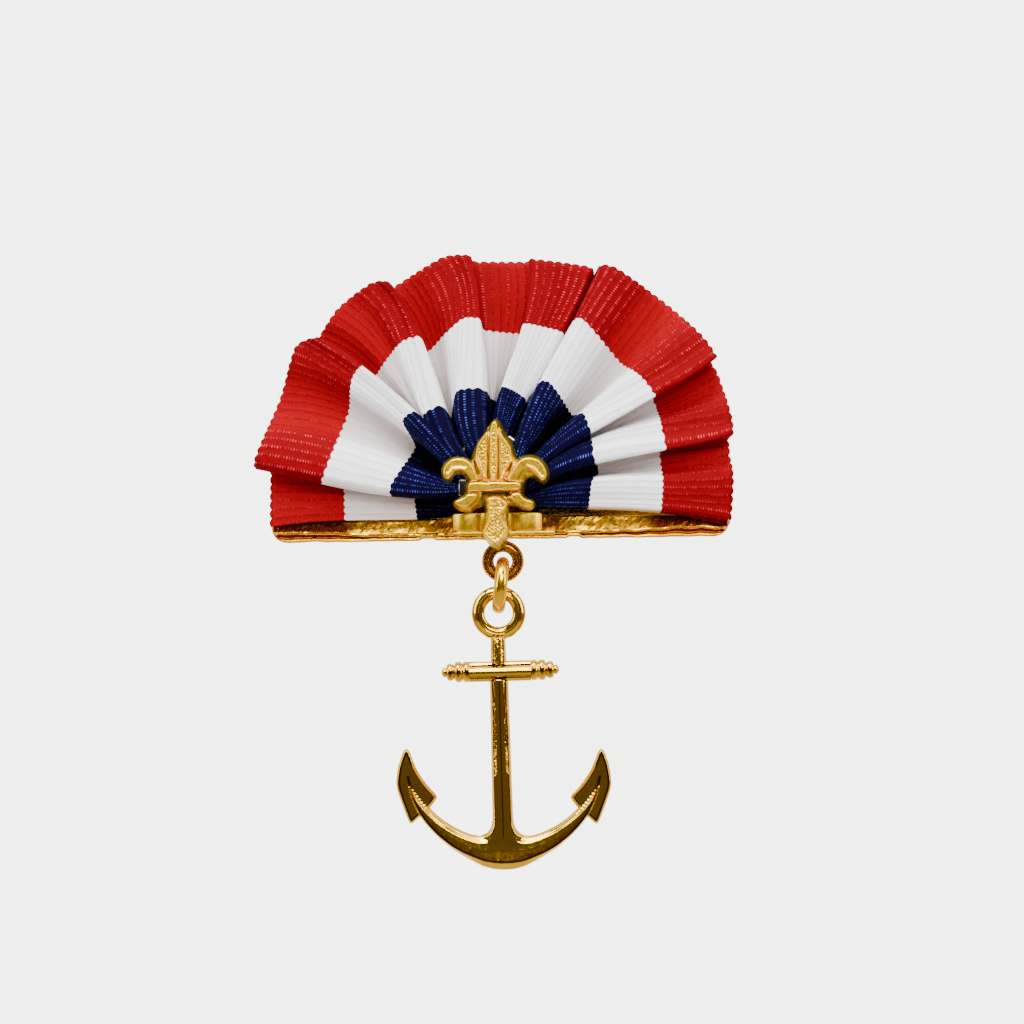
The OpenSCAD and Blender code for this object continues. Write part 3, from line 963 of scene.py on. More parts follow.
FOLDS = (
    ((-35.7, -4.3), (-24.1, -3.2), (-12.9, -3.0), (-5.0, -1.6), (5.8, 5.6, 5.4, 5.2)),
    ((-35.9, 7.0), (-24.6, 5.2), (-14.0, 3.0), (-5.4, 0.0), (3.4, 3.4, 3.6, 5.0)),
    ((-37.8, 4.9), (-27.6, 2.6), (-16.7, 0.6), (-5.9, 0.9), (6.6, 7.0, 7.6, 7.4)),
    ((-37.9, 6.6), (-27.0, 4.6), (-16.8, 2.4), (-5.9, 1.7), (8.2, 8.8, 9.4, 8.4)),
    ((-34.3, 15.6), (-23.6, 13.6), (-13.2, 8.3), (-5.8, 2.5), (4.4, 4.2, 3.4, 5.0)),
    ((-31.7, 23.8), (-22.9, 18.7), (-15.1, 12.2), (-5.7, 3.1), (7.0, 7.8, 8.8, 8.2)),
    ((-28.3, 25.2), (-21.4, 20.7), (-13.2, 13.6), (-5.2, 3.9), (8.0, 8.8, 9.6, 8.4)),
    ((-28.9, 24.3), (-19.6, 19.2), (-11.0, 10.8), (-5.0, 4.5), (3.6, 3.6, 3.2, 5.0)),
    ((-25.2, 29.8), (-17.3, 22.2), (-11.5, 12.2), (-5.0, 4.7), (5.4, 5.4, 5.6, 6.4)),
    ((-20.1, 33.6), (-14.9, 24.7), (-11.8, 13.3), (-4.9, 4.9), (7.0, 7.6, 8.8, 8.2)),
    ((-17.4, 33.8), (-12.4, 25.2), (-9.2, 14.5), (-4.3, 5.5), (8.0, 8.8, 9.6, 8.4)),
    ((-17.6, 32.6), (-11.3, 23.0), (-7.6, 12.7), (-3.8, 5.8), (3.8, 3.6, 3.2, 5.0)),
    ((-9.0, 37.6), (-6.0, 27.9), (-6.7, 16.8), (-3.4, 6.2), (7.0, 7.8, 8.8, 8.2)),
    ((-4.9, 37.9), (-3.2, 28.0), (-3.0, 17.2), (-2.1, 6.7), (8.0, 8.8, 9.4, 8.4)),
    ((-3.9, 37.0), (-2.6, 26.4), (-1.6, 15.9), (-1.7, 6.7), (6.4, 6.0, 5.0, 6.0)),
    ((4.2, 37.0), (3.3, 25.9), (-0.3, 15.3), (-1.0, 6.8), (5.4, 5.0, 3.4, 5.0)),
    ((5.2, 37.3), (3.8, 27.3), (0.5, 17.5), (-0.3, 6.9), (8.0, 8.6, 9.2, 8.4)),
    ((13.8, 36.2), (9.1, 26.2), (3.3, 16.2), (0.7, 6.5), (6.6, 7.4, 8.0, 7.8)),
    ((14.6, 34.7), (10.2, 25.2), (4.8, 14.4), (1.2, 6.2), (2.8, 2.8, 2.8, 5.0)),
    ((15.7, 36.4), (11.5, 27.8), (6.1, 18.1), (1.8, 5.6), (7.6, 8.2, 9.0, 8.2)),
    ((18.3, 35.8), (13.0, 27.7), (7.8, 18.0), (2.3, 5.0), (7.8, 8.6, 9.4, 8.4)),
    ((26.0, 30.4), (18.7, 21.4), (11.2, 13.3), (2.8, 4.4), (5.0, 4.4, 3.6, 5.0)),
    ((31.4, 25.4), (21.9, 19.0), (12.9, 13.4), (3.2, 3.8), (7.6, 8.2, 9.0, 8.2)),
    ((33.5, 22.3), (24.0, 16.2), (13.9, 10.9), (3.6, 3.2), (8.2, 9.0, 9.6, 8.4)),
    ((32.6, 21.9), (23.6, 16.2), (14.0, 10.3), (3.9, 2.8), (3.6, 3.6, 3.2, 5.0)),
    ((34.0, 19.4), (24.4, 14.2), (14.1, 9.7), (4.0, 2.5), (4.4, 3.8, 3.2, 5.0)),
    ((35.9, 13.0), (25.0, 11.4), (14.3, 9.0), (4.1, 2.2), (7.4, 8.0, 9.0, 8.2)),
    ((36.1, 10.5), (25.6, 8.1), (14.5, 6.4), (4.3, 1.6), (8.2, 9.0, 9.6, 8.4)),
    ((35.6, 9.6), (24.9, 7.9), (15.2, 5.2), (4.3, 1.1), (3.8, 3.6, 3.2, 5.0)),
    ((35.7, 7.0), (25.0, 5.6), (15.3, 3.9), (4.3, 0.8), (5.2, 4.8, 3.2, 5.0)),
    ((36.2, 3.4), (25.2, 2.8), (14.2, 2.7), (4.2, 0.5), (7.4, 8.0, 8.8, 8.0)),
    ((35.9, -2.4), (25.0, -1.0), (13.8, -0.6), (3.9, -0.4), (7.0, 7.6, 8.2, 7.6)),
    ((35.4, -4.1), (24.8, -1.9), (13.6, -1.3), (3.7, -0.9), (5.6, 5.8, 6.0, 5.6)),
)


@dataclass
class RibbonFan:
    """The gathered ribbon, laid from its fold lines, with real ribs across it."""

    width: float = 34.0
    border_shares: Box = (0.0, *STRIPE_BORDERS, 1.0)
    fold_roundness: float = 0.07
    tube: float = 0.9
    flow: float = 0.32
    thickness: float = 0.35
    rib_pitch: float = 1.4
    rib_height: float = 0.075
    rib_fullness: float = 0.7
    rib_middle: float = 0.6
    points_per_rib: int = 6
    rows: int = 36
    scallop_fade: float = 40.0
    slack: float = 0.12
    slack_waves: Point = (1.9, 7.0)
    least_spread: float = 0.25
    crest: Point = (4.2, 4.2)
    samples: int = 6000
    normal_probe: float = 0.02
    spread_probe: float = 0.01
    folds: tuple[FoldLine, ...] = tuple(FoldLine(*row) for row in FOLDS)

    def along_width(self, values: np.ndarray, u: np.ndarray) -> np.ndarray:
        """Draws smooth curves through the values at the outer selvedge, the two borders and the gathers.

        Args:
            values: The four values for each point.
            u: The share of the width for each point.

        Returns:
            The value on each curve.
        """
        result = np.zeros_like(u)
        for k, own in enumerate(self.border_shares):
            weight = np.ones_like(u)
            for other in self.border_shares:
                if other != own:
                    weight = weight * (u - other) / (own - other)
            result = result + values[:, k] * weight
        return result

    def point(self, s: np.ndarray, u: np.ndarray) -> np.ndarray:
        """Finds points of the ribbon's middle.

        Args:
            s: How many fold lines along the ribbon each point is.
            u: The share of the width, from the outer selvedge to the gathers.

        Returns:
            The points in millimetres.
        """
        last = len(self.folds) - 1
        table = np.array([[f.edge, f.red_end, f.white_end, f.gather] for f in self.folds])
        outs = np.array([f.outs for f in self.folds])
        fold = np.clip(np.floor(s), 0, last - 1).astype(int)
        t = s - fold
        w = t + self.fold_roundness * np.sin(2 * math.pi * t)
        near = [np.clip(fold + k, 0, last) for k in (-1, 0, 1, 2)]
        plane = []
        for axis in (0, 1):
            a, b, c, d = (self.along_width(table[i, :, axis], u) for i in near)
            leave, arrive = self.flow * (c - a), self.flow * (d - b)
            plane.append(
                b
                + leave * w
                + (3 * (c - b) - 2 * leave - arrive) * w * w
                + (2 * (b - c) + leave + arrive) * w * w * w
            )
        here, there = self.along_width(outs[near[1]], u), self.along_width(outs[near[2]], u)
        rise = np.where(there > here, 1 - np.cos(math.pi * t), 1 + np.cos(math.pi * t)) / 2
        rise = 1.0 - (1.0 - rise) ** (1.0 + self.tube * u)
        out = np.minimum(here, there) + np.abs(there - here) * rise
        return np.stack((plane[0], -out, plane[1]), axis=1)

    def normal(self, s: np.ndarray, u: np.ndarray) -> np.ndarray:
        """Finds the directions square to the ribbon.

        Args:
            s: How many folds along the ribbon each point is.
            u: The share of the width.

        Returns:
            A unit direction for each point.
        """
        step = self.normal_probe
        along = self.point(s + step, u) - self.point(s - step, u)
        across = self.point(s, u + step) - self.point(s, u - step)
        square = np.cross(along, across)
        return square / np.linalg.norm(square, axis=1)[:, None]

    def spread(self, s: np.ndarray, u: np.ndarray) -> np.ndarray:
        """Finds how wide the folds spread at the points."""
        return np.linalg.norm(self.point(s + self.spread_probe, u) - self.point(s - self.spread_probe, u), axis=1)

    def build(self) -> bpy.types.Object:
        """Lays the ribbon and maps its ribs.

        Returns:
            The ribbon, with its thickness.
        """
        last = len(self.folds) - 1
        track = np.linspace(0.0, last, self.samples)
        edge = self.point(track, np.zeros_like(track))
        lengths = np.concatenate(([0.0], np.cumsum(np.linalg.norm(np.diff(edge, axis=0), axis=1))))
        self.length = float(lengths[-1])
        self.ribs = round(self.length / self.rib_pitch)

        mesh, shares = unit_grid(self.ribs * self.points_per_rib, self.rows)
        along, u = shares.T
        s = np.interp(along * self.length, lengths, track)
        rib = along * self.ribs
        swell = np.abs(np.sin(math.pi * rib))
        middle = self.point(s, u - SCALLOP * (swell - 0.5) * np.exp(-self.scallop_fade * u))
        openness = np.clip(self.spread(s, u) / np.maximum(self.spread(s, u * 0.0), TINY), self.least_spread, 1.0)
        wave_s, wave_u = self.slack_waves
        slack = self.slack * np.sin(wave_s * s + wave_u * u) * np.sin(math.pi * u)
        lift = self.rib_height * openness * (swell**self.rib_fullness - self.rib_middle) + slack
        for vert, co in zip(mesh.verts, (middle + self.normal(s, u) * lift[:, None]) * MM):
            vert.co = co
        # crest: how far out the ribbon stands; the finish paints shade where it is low and lets the dots glint where it
        # is high
        mark(mesh, ramp(-middle[:, 1], *self.crest), "crest")
        mark(mesh, openness, "openness")
        weave = mesh.loops.layers.uv.new("weave")
        for face in mesh.faces:
            for loop in face.loops:
                loop[weave].uv = (rib[loop.vert.index], u[loop.vert.index])
        piece = as_piece(mesh, "striped_ribbon", ALL_SMOOTH_DEG)
        thicken(piece, self.thickness)
        return piece

    def make(self, wardrobe: Wardrobe) -> None:
        """Args:
            wardrobe: The finishes.
        """
        piece = self.build()
        settle(piece, Body.BROOCH, Slot.RIBBON, wardrobe, "ribbon_fan")
        log.info("the ribbon is %.0f mm long and has %d ribs", self.length, self.ribs)


# The fleur-de-lis, with outlines as X and Z: its sloping walls, and the raised faces on them

FLEUR_WALLS: dict[str, tuple[Point, ...]] = {
    "petal": (
        (-0.6, 12.6), (-0.1, 12.3), (0.6, 11.0), (1.3, 9.9), (2.0, 8.8), (2.4, 7.6), (2.7, 6.4), (2.3, 4.6), (1.8, 2.6),
        (-3.8, 2.6), (-4.3, 4.6), (-4.5, 6.2), (-4.3, 7.0), (-3.9, 8.0), (-3.4, 9.1), (-2.5, 10.2), (-1.9, 11.1),
        (-1.3, 12.1),
    ),
    "right_curl": (
        (1.2, 2.6), (2.0, 5.2), (2.7, 6.4), (3.4, 6.8), (4.3, 7.0), (5.3, 7.0), (6.2, 6.6), (7.0, 5.9), (7.5, 5.0),
        (7.7, 4.0), (7.5, 3.0), (7.0, 2.4), (6.4, 2.4), (5.9, 2.8), (5.3, 3.3), (4.4, 3.3), (4.1, 2.9), (4.0, 2.4),
    ),
    "left_curl": (
        (-2.9, 2.6), (-3.8, 5.2), (-4.6, 6.2), (-5.2, 6.6), (-6.1, 6.7), (-7.1, 6.7), (-8.0, 6.3), (-8.7, 5.6),
        (-9.1, 4.8), (-9.1, 4.0), (-8.8, 3.2), (-8.2, 2.7), (-7.6, 2.7), (-7.2, 3.1), (-7.1, 3.6), (-6.6, 3.9),
        (-5.8, 3.8), (-5.3, 3.4), (-5.1, 2.9), (-5.0, 2.5),
    ),
    "band": (
        (-5.5, 2.6), (-5.3, 3.0), (3.7, 3.0), (3.9, 2.6), (3.9, 1.6), (3.6, 1.2), (1.9, 1.0), (-5.1, 1.0), (-5.5, 1.5),
    ),
    "right_leaf": (
        (1.0, 1.5), (3.6, 1.5), (3.7, 0.8), (4.3, 0.3), (5.2, 0.0), (5.6, -0.6), (5.3, -1.3), (4.6, -1.7), (3.7, -1.6),
        (2.9, -1.2), (2.0, -0.9), (1.2, -0.9),
    ),
    "left_leaf": (
        (-2.4, 1.5), (-5.2, 1.6), (-5.6, 0.8), (-6.4, 0.3), (-7.3, -0.3), (-7.2, -1.0), (-6.5, -1.6), (-5.3, -2.0),
        (-4.2, -1.9), (-3.8, -1.4), (-2.4, -0.9),
    ),
    "foot": (
        (-3.0, 1.2), (1.7, 1.2), (1.6, -1.2), (1.3, -2.4), (1.2, -3.2), (1.3, -3.9), (1.6, -4.9), (1.0, -6.1),
        (0.4, -7.3), (-0.3, -8.0), (-1.2, -7.5), (-2.1, -6.4), (-2.9, -5.1), (-2.6, -4.4), (-2.4, -3.5), (-2.4, -2.4),
        (-2.5, -0.3),
    ),
}

FLEUR_FACES: dict[str, tuple[Point, ...]] = {
    "left_lobe": (
        (-1.9, 10.7), (-2.6, 9.7), (-3.3, 8.8), (-3.6, 7.7), (-3.7, 6.7), (-3.4, 5.7), (-3.0, 4.5), (-2.6, 3.5),
        (-2.3, 3.0), (-2.0, 3.0), (-1.9, 8.0),
    ),
    "rib": (
        (-0.8, 12.1), (-1.2, 11.9), (-1.5, 10.9), (-1.6, 9.0), (-1.6, 3.0), (-0.4, 3.0), (-0.4, 9.0), (-0.4, 10.9),
        (-0.5, 11.8),
    ),
    "right_lobe": (
        (-0.1, 10.7), (0.4, 9.8), (1.2, 8.8), (1.7, 7.7), (1.8, 6.7), (1.5, 5.7), (1.0, 4.7), (0.7, 3.8), (0.4, 3.0),
        (0.0, 3.0), (-0.1, 6.5),
    ),
    "right_curl": (
        (2.5, 2.9), (2.6, 3.6), (3.0, 4.3), (3.6, 4.9), (4.4, 5.1), (5.0, 4.8), (5.4, 4.1), (6.0, 3.4), (6.6, 3.0),
        (7.1, 3.3), (7.1, 4.4), (6.6, 5.5), (5.9, 6.2), (4.9, 6.5), (3.8, 6.5), (2.9, 5.9), (2.3, 5.1), (1.6, 3.9),
        (1.0, 3.0),
    ),
    "left_curl": (
        (-4.4, 2.9), (-4.6, 3.5), (-5.0, 4.1), (-5.7, 4.6), (-6.4, 4.8), (-7.1, 4.4), (-7.6, 3.6), (-8.1, 3.2),
        (-8.6, 3.5), (-8.7, 4.2), (-8.5, 5.1), (-8.0, 5.8), (-7.3, 6.3), (-6.4, 6.4), (-5.3, 6.3), (-4.6, 5.7),
        (-4.0, 4.8), (-3.6, 3.9), (-3.3, 3.0),
    ),
    "band": (
        (-4.9, 2.1), (-4.7, 2.6), (-3.4, 2.7), (-1.9, 2.6), (-1.0, 2.8), (0.5, 2.7), (3.0, 2.7), (3.2, 2.2), (3.1, 1.7),
        (1.9, 1.6), (0.7, 1.5), (-0.2, 1.7), (-1.4, 1.5), (-2.3, 1.4), (-4.5, 1.4), (-4.9, 1.6),
    ),
    "left_leaf": (
        (-5.0, 0.9), (-3.4, 0.9), (-3.9, 0.1), (-4.4, -0.5), (-5.1, -0.9), (-6.0, -0.9), (-6.6, -0.7), (-7.0, -0.3),
        (-6.5, 0.0), (-5.8, 0.2), (-5.3, 0.5),
    ),
    "right_leaf": (
        (1.6, 0.9), (3.0, 1.1), (3.4, 0.5), (4.0, 0.1), (4.8, -0.1), (5.2, -0.4), (4.9, -0.9), (4.0, -1.0), (3.0, -0.8),
        (2.2, -0.2),
    ),
    "foot": (
        (-1.8, 0.3), (-0.5, 0.4), (0.2, 0.2), (1.1, -0.6), (1.0, -1.2), (0.5, -1.7), (0.2, -2.1), (0.2, -2.7),
        (0.5, -3.5), (1.3, -4.5), (0.7, -5.5), (0.1, -6.2), (-0.5, -6.6), (-1.2, -6.5), (-2.0, -5.8), (-2.7, -5.0),
        (-2.3, -4.4), (-1.9, -3.8), (-1.8, -2.6), (-1.9, -1.8), (-1.7, -1.5), (-2.0, -1.0), (-1.7, -0.6), (-2.0, -0.1),
    ),
}


@dataclass
class FleurDeLis:
    """The cast fleur-de-lis: sloping walls, raised faces with bright rims, and pebbled hollows, with painted shade that
    grows the lower a point lies.
    """

    back_out: float = 10.5
    top: float = 2.45
    web_drop: float = 0.95
    rim: float = 0.24
    hollow: float = 0.17
    pebble: float = 0.085
    pebble_sizes: Point = (0.3, 0.15)
    fine_pebbles: float = 0.7
    fine_seed: float = 5.0
    pebbles_on_rims: float = 0.1
    pebbled_over: float = 0.35
    wall_curve: float = 0.7
    web_width: float = 0.5
    edge_drop: float = 0.14
    edge_width: float = 0.16
    rim_slope: float = 0.14
    least: float = 0.02
    step: float = 0.064
    box: Box = (-9.5, 8.0, -8.2, 12.9)
    walls: dict[str, tuple[Point, ...]] = field(default_factory=lambda: FLEUR_WALLS)
    faces: dict[str, tuple[Point, ...]] = field(default_factory=lambda: FLEUR_FACES)
    hollowed: tuple[str, ...] = ("left_lobe", "rib", "right_lobe", "foot")
    grooves: tuple[tuple[float, float, float, float, float, float], ...] = (
        # x at the start and end, z at the start and end, depth, half width
        (-1.76, -1.8, 11.2, 3.2, 0.8, 0.2),
        (-0.26, -0.22, 11.2, 3.2, 0.7, 0.16),
        (-0.7, -0.72, 0.3, -6.4, 0.35, 0.16),
        (-3.9, -3.3, 5.9, 4.0, 0.8, 0.3),
        (1.7, 0.9, 5.6, 3.8, 0.8, 0.3),
        (-2.9, -2.4, 7.6, 3.8, 0.2, 0.16),
        (0.5, 0.2, 8.4, 3.6, 0.16, 0.14),
        (1.2, 0.6, 7.6, 4.2, 0.16, 0.14),
        (-8.0, -7.2, 4.4, 5.3, 0.18, 0.4),
        (-7.2, -5.4, 5.3, 5.2, 0.2, 0.45),
        (4.4, 5.6, 5.6, 5.0, 0.16, 0.4),
        (5.6, 6.5, 5.0, 3.9, 0.2, 0.42),
    )

    def inside(self, at: np.ndarray) -> np.ndarray:
        """Measures how deep points lie inside the casting's outline."""
        return np.max([depth_inside(rounded(shape), at) for shape in self.walls.values()], axis=0)

    def height(self, at: np.ndarray) -> np.ndarray:
        """Finds how high the casting's front is.

        Args:
            at: The points, as X and Z.

        Returns:
            The height of each point above the back's edge.
        """
        inner = np.maximum(self.inside(at), 0.0)
        on_each = {name: depth_inside(rounded(shape), at) for name, shape in self.faces.items()}
        on_face = np.max(list(on_each.values()), axis=0)
        on_hollow = np.max([on_each[name] for name in self.hollowed], axis=0)
        off = np.maximum(-on_face, 0.0)
        wall = self.top * (inner / (inner + off + TINY)) ** self.wall_curve
        web = self.top - ramp(off, 0.0, self.web_width, self.web_drop)
        rise = np.minimum(wall, web) - self.edge_drop + ramp(on_face, 0.0, self.edge_width, self.edge_drop)
        deep = ramp(on_hollow, self.rim, self.rim_slope)
        coarse, fine = self.pebble_sizes
        pebbles = self.pebble * (grain_at(at, coarse) + self.fine_pebbles * grain_at(at, fine, self.fine_seed))
        rise = rise - deep * (self.hollow - pebbles) + self.pebbles_on_rims * pebbles
        for x0, x1, z0, z1, deep_by, half in self.grooves:
            run = np.array([x1 - x0, z1 - z0])
            share = np.clip(((at - [x0, z0]) @ run) / (run @ run), 0.0, 1.0)
            gap = np.hypot(at[:, 0] - (x0 + run[0] * share), at[:, 1] - (z0 + run[1] * share))
            rise = rise - (1.0 - ramp(gap, 0.0, half)) * (deep_by - (pebbles if half > self.pebbled_over else 0.0))
        return np.maximum(rise, self.least)

    def make(self, wardrobe: Wardrobe) -> None:
        """Builds the casting and dresses it.

        Args:
            wardrobe: The finishes.
        """
        # painted shade: the lower a point lies, the more of the matte gilt's hollow tone it gets
        mesh = relief(
            self.box, self.step, self.inside, self.height, lambda _, rise: 1.0 - rise / self.top, self.back_out
        )
        settle(as_piece(mesh, "cast_fleur", ALL_SMOOTH_DEG), Body.BROOCH, Slot.MATTE, wardrobe, "fleur_de_lis")


# The bar, the saddle and the wire


@dataclass
class Bar:
    """The gilt tray along the fan's foot, with its crinkled double lip."""

    length: float = 70.7
    tilt: float = 0.9
    thickness: float = 0.28
    columns: int = 420
    corner: float = 2.4
    end_round: float = 1.1
    foot_z: float = -6.02
    floor_slope: float = 0.25
    notches: Point = (-11.2, 11.4)
    # The tuples below that a ramp reads give where it starts, over how much it goes, and how high.
    notch_shape: Triple = (1.44, -0.9, 0.36)
    profile: tuple[Box, ...] = (
        # out, height, share of the lip's wander, painted shade in the creases of the wall, the cove and the lip
        (2.5, 4.4, 0.0, 0.0), (2.5, 2.0, 0.0, 0.0), (2.5, 0.2, 0.0, 0.0), (2.6, -1.2, 0.0, 0.0), (2.7, -2.1, 0.0, 0.2),
        (3.0, -2.55, 0.0, 0.7), (4.3, -2.7, 0.0, 0.3), (4.6, -2.85, 0.0, 0.0), (4.66, -3.4, 0.0, 0.0),
        (4.68, -4.2, 0.0, 0.0), (4.8, -5.0, 0.0, 0.1), (5.6, -5.6, 0.0, 0.3), (7.5, -5.74, 0.0, 0.3),
        (8.9, -5.5, 0.2, 0.5), (9.5, -5.2, 0.9, 0.3), (9.68, -4.96, 1.0, 0.0), (9.84, -4.9, 1.0, 0.0),
        (9.98, -4.98, 1.0, 0.0), (9.92, -5.1, 1.0, 0.7), (9.56, -5.2, 0.9, 1.0), (9.46, -5.42, 0.5, 1.0),
        (9.56, -5.66, 0.1, 1.0), (9.96, -5.76, 0.0, 0.3), (10.1, -5.86, 0.0, 0.0), (10.02, -5.98, 0.0, 0.0),
        (9.2, -6.02, 0.0, 0.0),
    )
    lip_wander: tuple[Point, ...] = (
        # place along the bar, rise of the lip's upper line
        (-35.0, 0.4), (-26.0, 0.3), (-22.5, -0.05), (-18.0, -0.25), (-12.0, -0.3), (-7.0, -0.2), (0.0, -0.2),
        (4.0, -0.15), (10.0, -0.15), (20.0, 0.0), (24.0, 0.15), (28.0, 0.45), (32.0, 0.3), (35.0, 0.15),
    )
    rows: int = 110
    mark_spacing: float = 0.55
    saddle_x: float = -0.45
    lip: Point = (0.62, 0.08)
    lip_crinkle: float = 0.16
    lip_ripple: float = 0.14
    # how many millimetres of pattern the section takes up: of the dents, of the crinkles and of the ripple
    pattern_widths: Triple = (14.0, 4.0, 7.0)
    # the lean of the brushed strokes, and how much longer than wide they are
    strokes: Point = (0.8, 0.25)
    # size and seed of the crinkles, the fine crinkles and the ripple
    crinkles: tuple[Point, Point, Point] = ((1.9, 2.0), (1.0, 9.0), (2.0, 7.0))
    fine_crinkles: float = 0.7
    # strength, size and seed of the dents, the fine dents and the brushed strokes
    dents: tuple[Triple, Triple, Triple] = ((0.16, 3.6, 4.0), (0.03, 1.1, 5.0), (0.1, 0.5, 6.0))
    wall_top: float = 4.4
    wall_steps: tuple[Triple, Triple] = ((25.5, 2.5, 5.0), (33.0, 1.5, 3.0))
    end_out: float = 6.4
    front_limit: float = 10.28
    cove_start: Point = (4.3, 0.25)
    cove_end: Point = (8.6, -0.8)
    # painted shade in the cove: its share everywhere, and how much more of it towards the ends, beside the saddle and
    # behind it. Towards the ends its reddish tone also stands for a painted reflection of the ribbon.
    cove_painted_shade: float = 0.29
    end_painted_shade: Triple = (20.5, 5.0, 0.6)
    side_painted_shade: Triple = (12.5, -3.5, 0.4)
    behind_painted_shade: Triple = (7.0, -0.8, 0.95)

    def section(self, share: np.ndarray) -> np.ndarray:
        """Finds points of the tray's section.

        Args:
            share: How far along the section each point is, from 0 to 1.

        Returns:
            The profile's four values for each point.
        """
        points = np.array(self.profile)
        steps = np.linalg.norm(np.diff(points[:, :2], axis=0), axis=1) ** self.mark_spacing
        marks = np.concatenate(([0.0], np.cumsum(steps))) / steps.sum()
        return np.stack([np.interp(share, marks, points[:, column]) for column in range(4)], axis=1)

    def painted_shade(self, along: np.ndarray, across: np.ndarray) -> np.ndarray:
        """Gives how much painted shade points get: in the creases, across the cove, towards its ends, beside the saddle
        and behind it. Towards the ends it also stands for a painted red reflection of the ribbon.

        Args:
            along: The share of the length.
            across: The share of the section.

        Returns:
            The painted shade of each point, from 0 to 1.
        """
        out, _, _, painted_shade = self.section(across).T
        x = (along - 0.5) * self.length
        from_saddle = np.abs(x - self.saddle_x)
        # painted shade: more in the cove, towards its ends, beside the saddle and behind it
        cove = ramp(out, *self.cove_start) * ramp(out, *self.cove_end)
        shaded = self.cove_painted_shade + ramp(np.abs(x), *self.end_painted_shade) + ramp(from_saddle, *self.side_painted_shade)
        behind = ramp(from_saddle, *self.behind_painted_shade) * (out < self.cove_end[0])
        return np.maximum(np.maximum(painted_shade, cove * shaded), behind)

    def place(self, along: np.ndarray, across: np.ndarray) -> np.ndarray:
        """Places the tray's points.

        Args:
            along: The share of the length.
            across: The share of the section, from the back wall to the lip's foot.

        Returns:
            The points in millimetres.
        """
        x = (along - 0.5) * self.length
        out, z, wander, _ = self.section(across).T
        lip = ramp(across, *self.lip)
        at, edge, rippled = (np.stack((x, across * width), axis=1) for width in self.pattern_widths)
        lean, squeeze = self.strokes
        strokes = np.stack((x - lean * z, squeeze * (z + lean * x)), axis=1)
        coarse, fine, ripple = self.crinkles
        crinkle = grain_at(edge, *coarse) + self.fine_crinkles * np.abs(grain_at(edge, *fine))
        dents = sum(
            strength * grain_at(where, size, seed)
            for where, (strength, size, seed) in zip((at, at, strokes), self.dents)
        )
        out = out + lip * self.lip_crinkle * crinkle - (1 - lip) * dents
        z = z + lip * self.lip_ripple * grain_at(rippled, *ripple)
        marks, rises = zip(*self.lip_wander)
        z = z + wander * np.interp(x, marks, rises)
        for notch in self.notches:
            z = z + lip * (1.0 - wander) * ramp(np.abs(x - notch), *self.notch_shape)
        ceiling = self.wall_top
        for drop in self.wall_steps:
            ceiling = ceiling - ramp(np.abs(x), *drop)
        z = np.minimum(z, ceiling)
        from_end = self.length / 2 - np.abs(x)
        inner = np.clip((self.corner - from_end) / self.corner, 0.0, 1.0)
        floor = self.foot_z + self.corner * (1 - np.sqrt(1 - inner**2))
        z = np.where(z < floor, floor + self.floor_slope * (z - self.foot_z) * (1 - inner), z)
        closing = np.clip((self.end_round - from_end) / self.end_round, 0.0, 1.0)
        out = self.end_out + (out - self.end_out) * (1 - 0.5 * closing**2)
        return np.stack((x, -np.minimum(out, self.front_limit), z), axis=1)

    def make(self, wardrobe: Wardrobe) -> None:
        """Builds the tray.

        Args:
            wardrobe: The finishes.
        """
        mesh = laid_grid(self.columns, self.rows, self.place, self.painted_shade)
        bmesh.ops.transform(mesh, matrix=turn_about("Y", -self.tilt), verts=mesh.verts)
        piece = as_piece(mesh, "crinkled_bar", CREASE_DEG)
        thicken(piece, self.thickness)
        settle(piece, Body.BROOCH, Slot.SHEET, wardrobe, "bar")


@dataclass
class Saddle:
    """The brushed block under the fleur-de-lis: two cheeks on a narrow ledge, with a step back between them."""

    back_out: float = 7.1
    front_out: float = 10.3
    step_out: float = 9.5
    low: float = -4.9
    high: float = -2.0
    cheeks: tuple[Point, Point] = ((-7.3, -2.7), (1.35, 6.4))
    bow: float = 1.1
    bow_power: float = 2.4
    bow_points: int = 17
    step_bow: float = 0.1
    overlap: float = 0.6
    edge: float = 0.3
    ledge: Box = (-6.8, 8.4, -5.5, -4.9)
    ledge_out: float = 10.15
    ledge_edge: float = 0.12
    tilt: float = 0.9

    def barrel(self, left: float, right: float, bow: float, front: float) -> Form:
        """Makes one block whose front bows out like a barrel.

        Args:
            left: Its left end.
            right: Its right end.
            bow: How far its front's middle stands before its sides.
            front: How far out its front is.

        Returns:
            The block.
        """
        shares = np.linspace(0.0, 1.0, self.bow_points)
        face = [(left + (right - left) * t, front - bow * abs(2 * t - 1) ** self.bow_power) for t in shares]
        shape = [(left, self.back_out), *face, (right, self.back_out)]
        return block([(x, -out, self.low) for x, out in shape], (0.0, 0.0, self.high - self.low), self.edge)

    def make(self, wardrobe: Wardrobe) -> None:
        """Builds the saddle.

        Args:
            wardrobe: The finishes.
        """
        (left, inner_left), (inner_right, right) = self.cheeks
        mesh = self.barrel(left, inner_left, self.bow, self.front_out)
        for part in (
            self.barrel(inner_right, right, self.bow, self.front_out),
            self.barrel(inner_left - self.overlap, inner_right + self.overlap, self.step_bow, self.step_out),
            plate(self.ledge, self.back_out, self.ledge_out, self.ledge_edge),
        ):
            gather(mesh, part)
        bmesh.ops.transform(mesh, matrix=turn_about("Y", -self.tilt), verts=mesh.verts)
        settle(as_piece(mesh, "brushed_saddle"), Body.BROOCH, Slot.BRUSHED, wardrobe, "saddle")


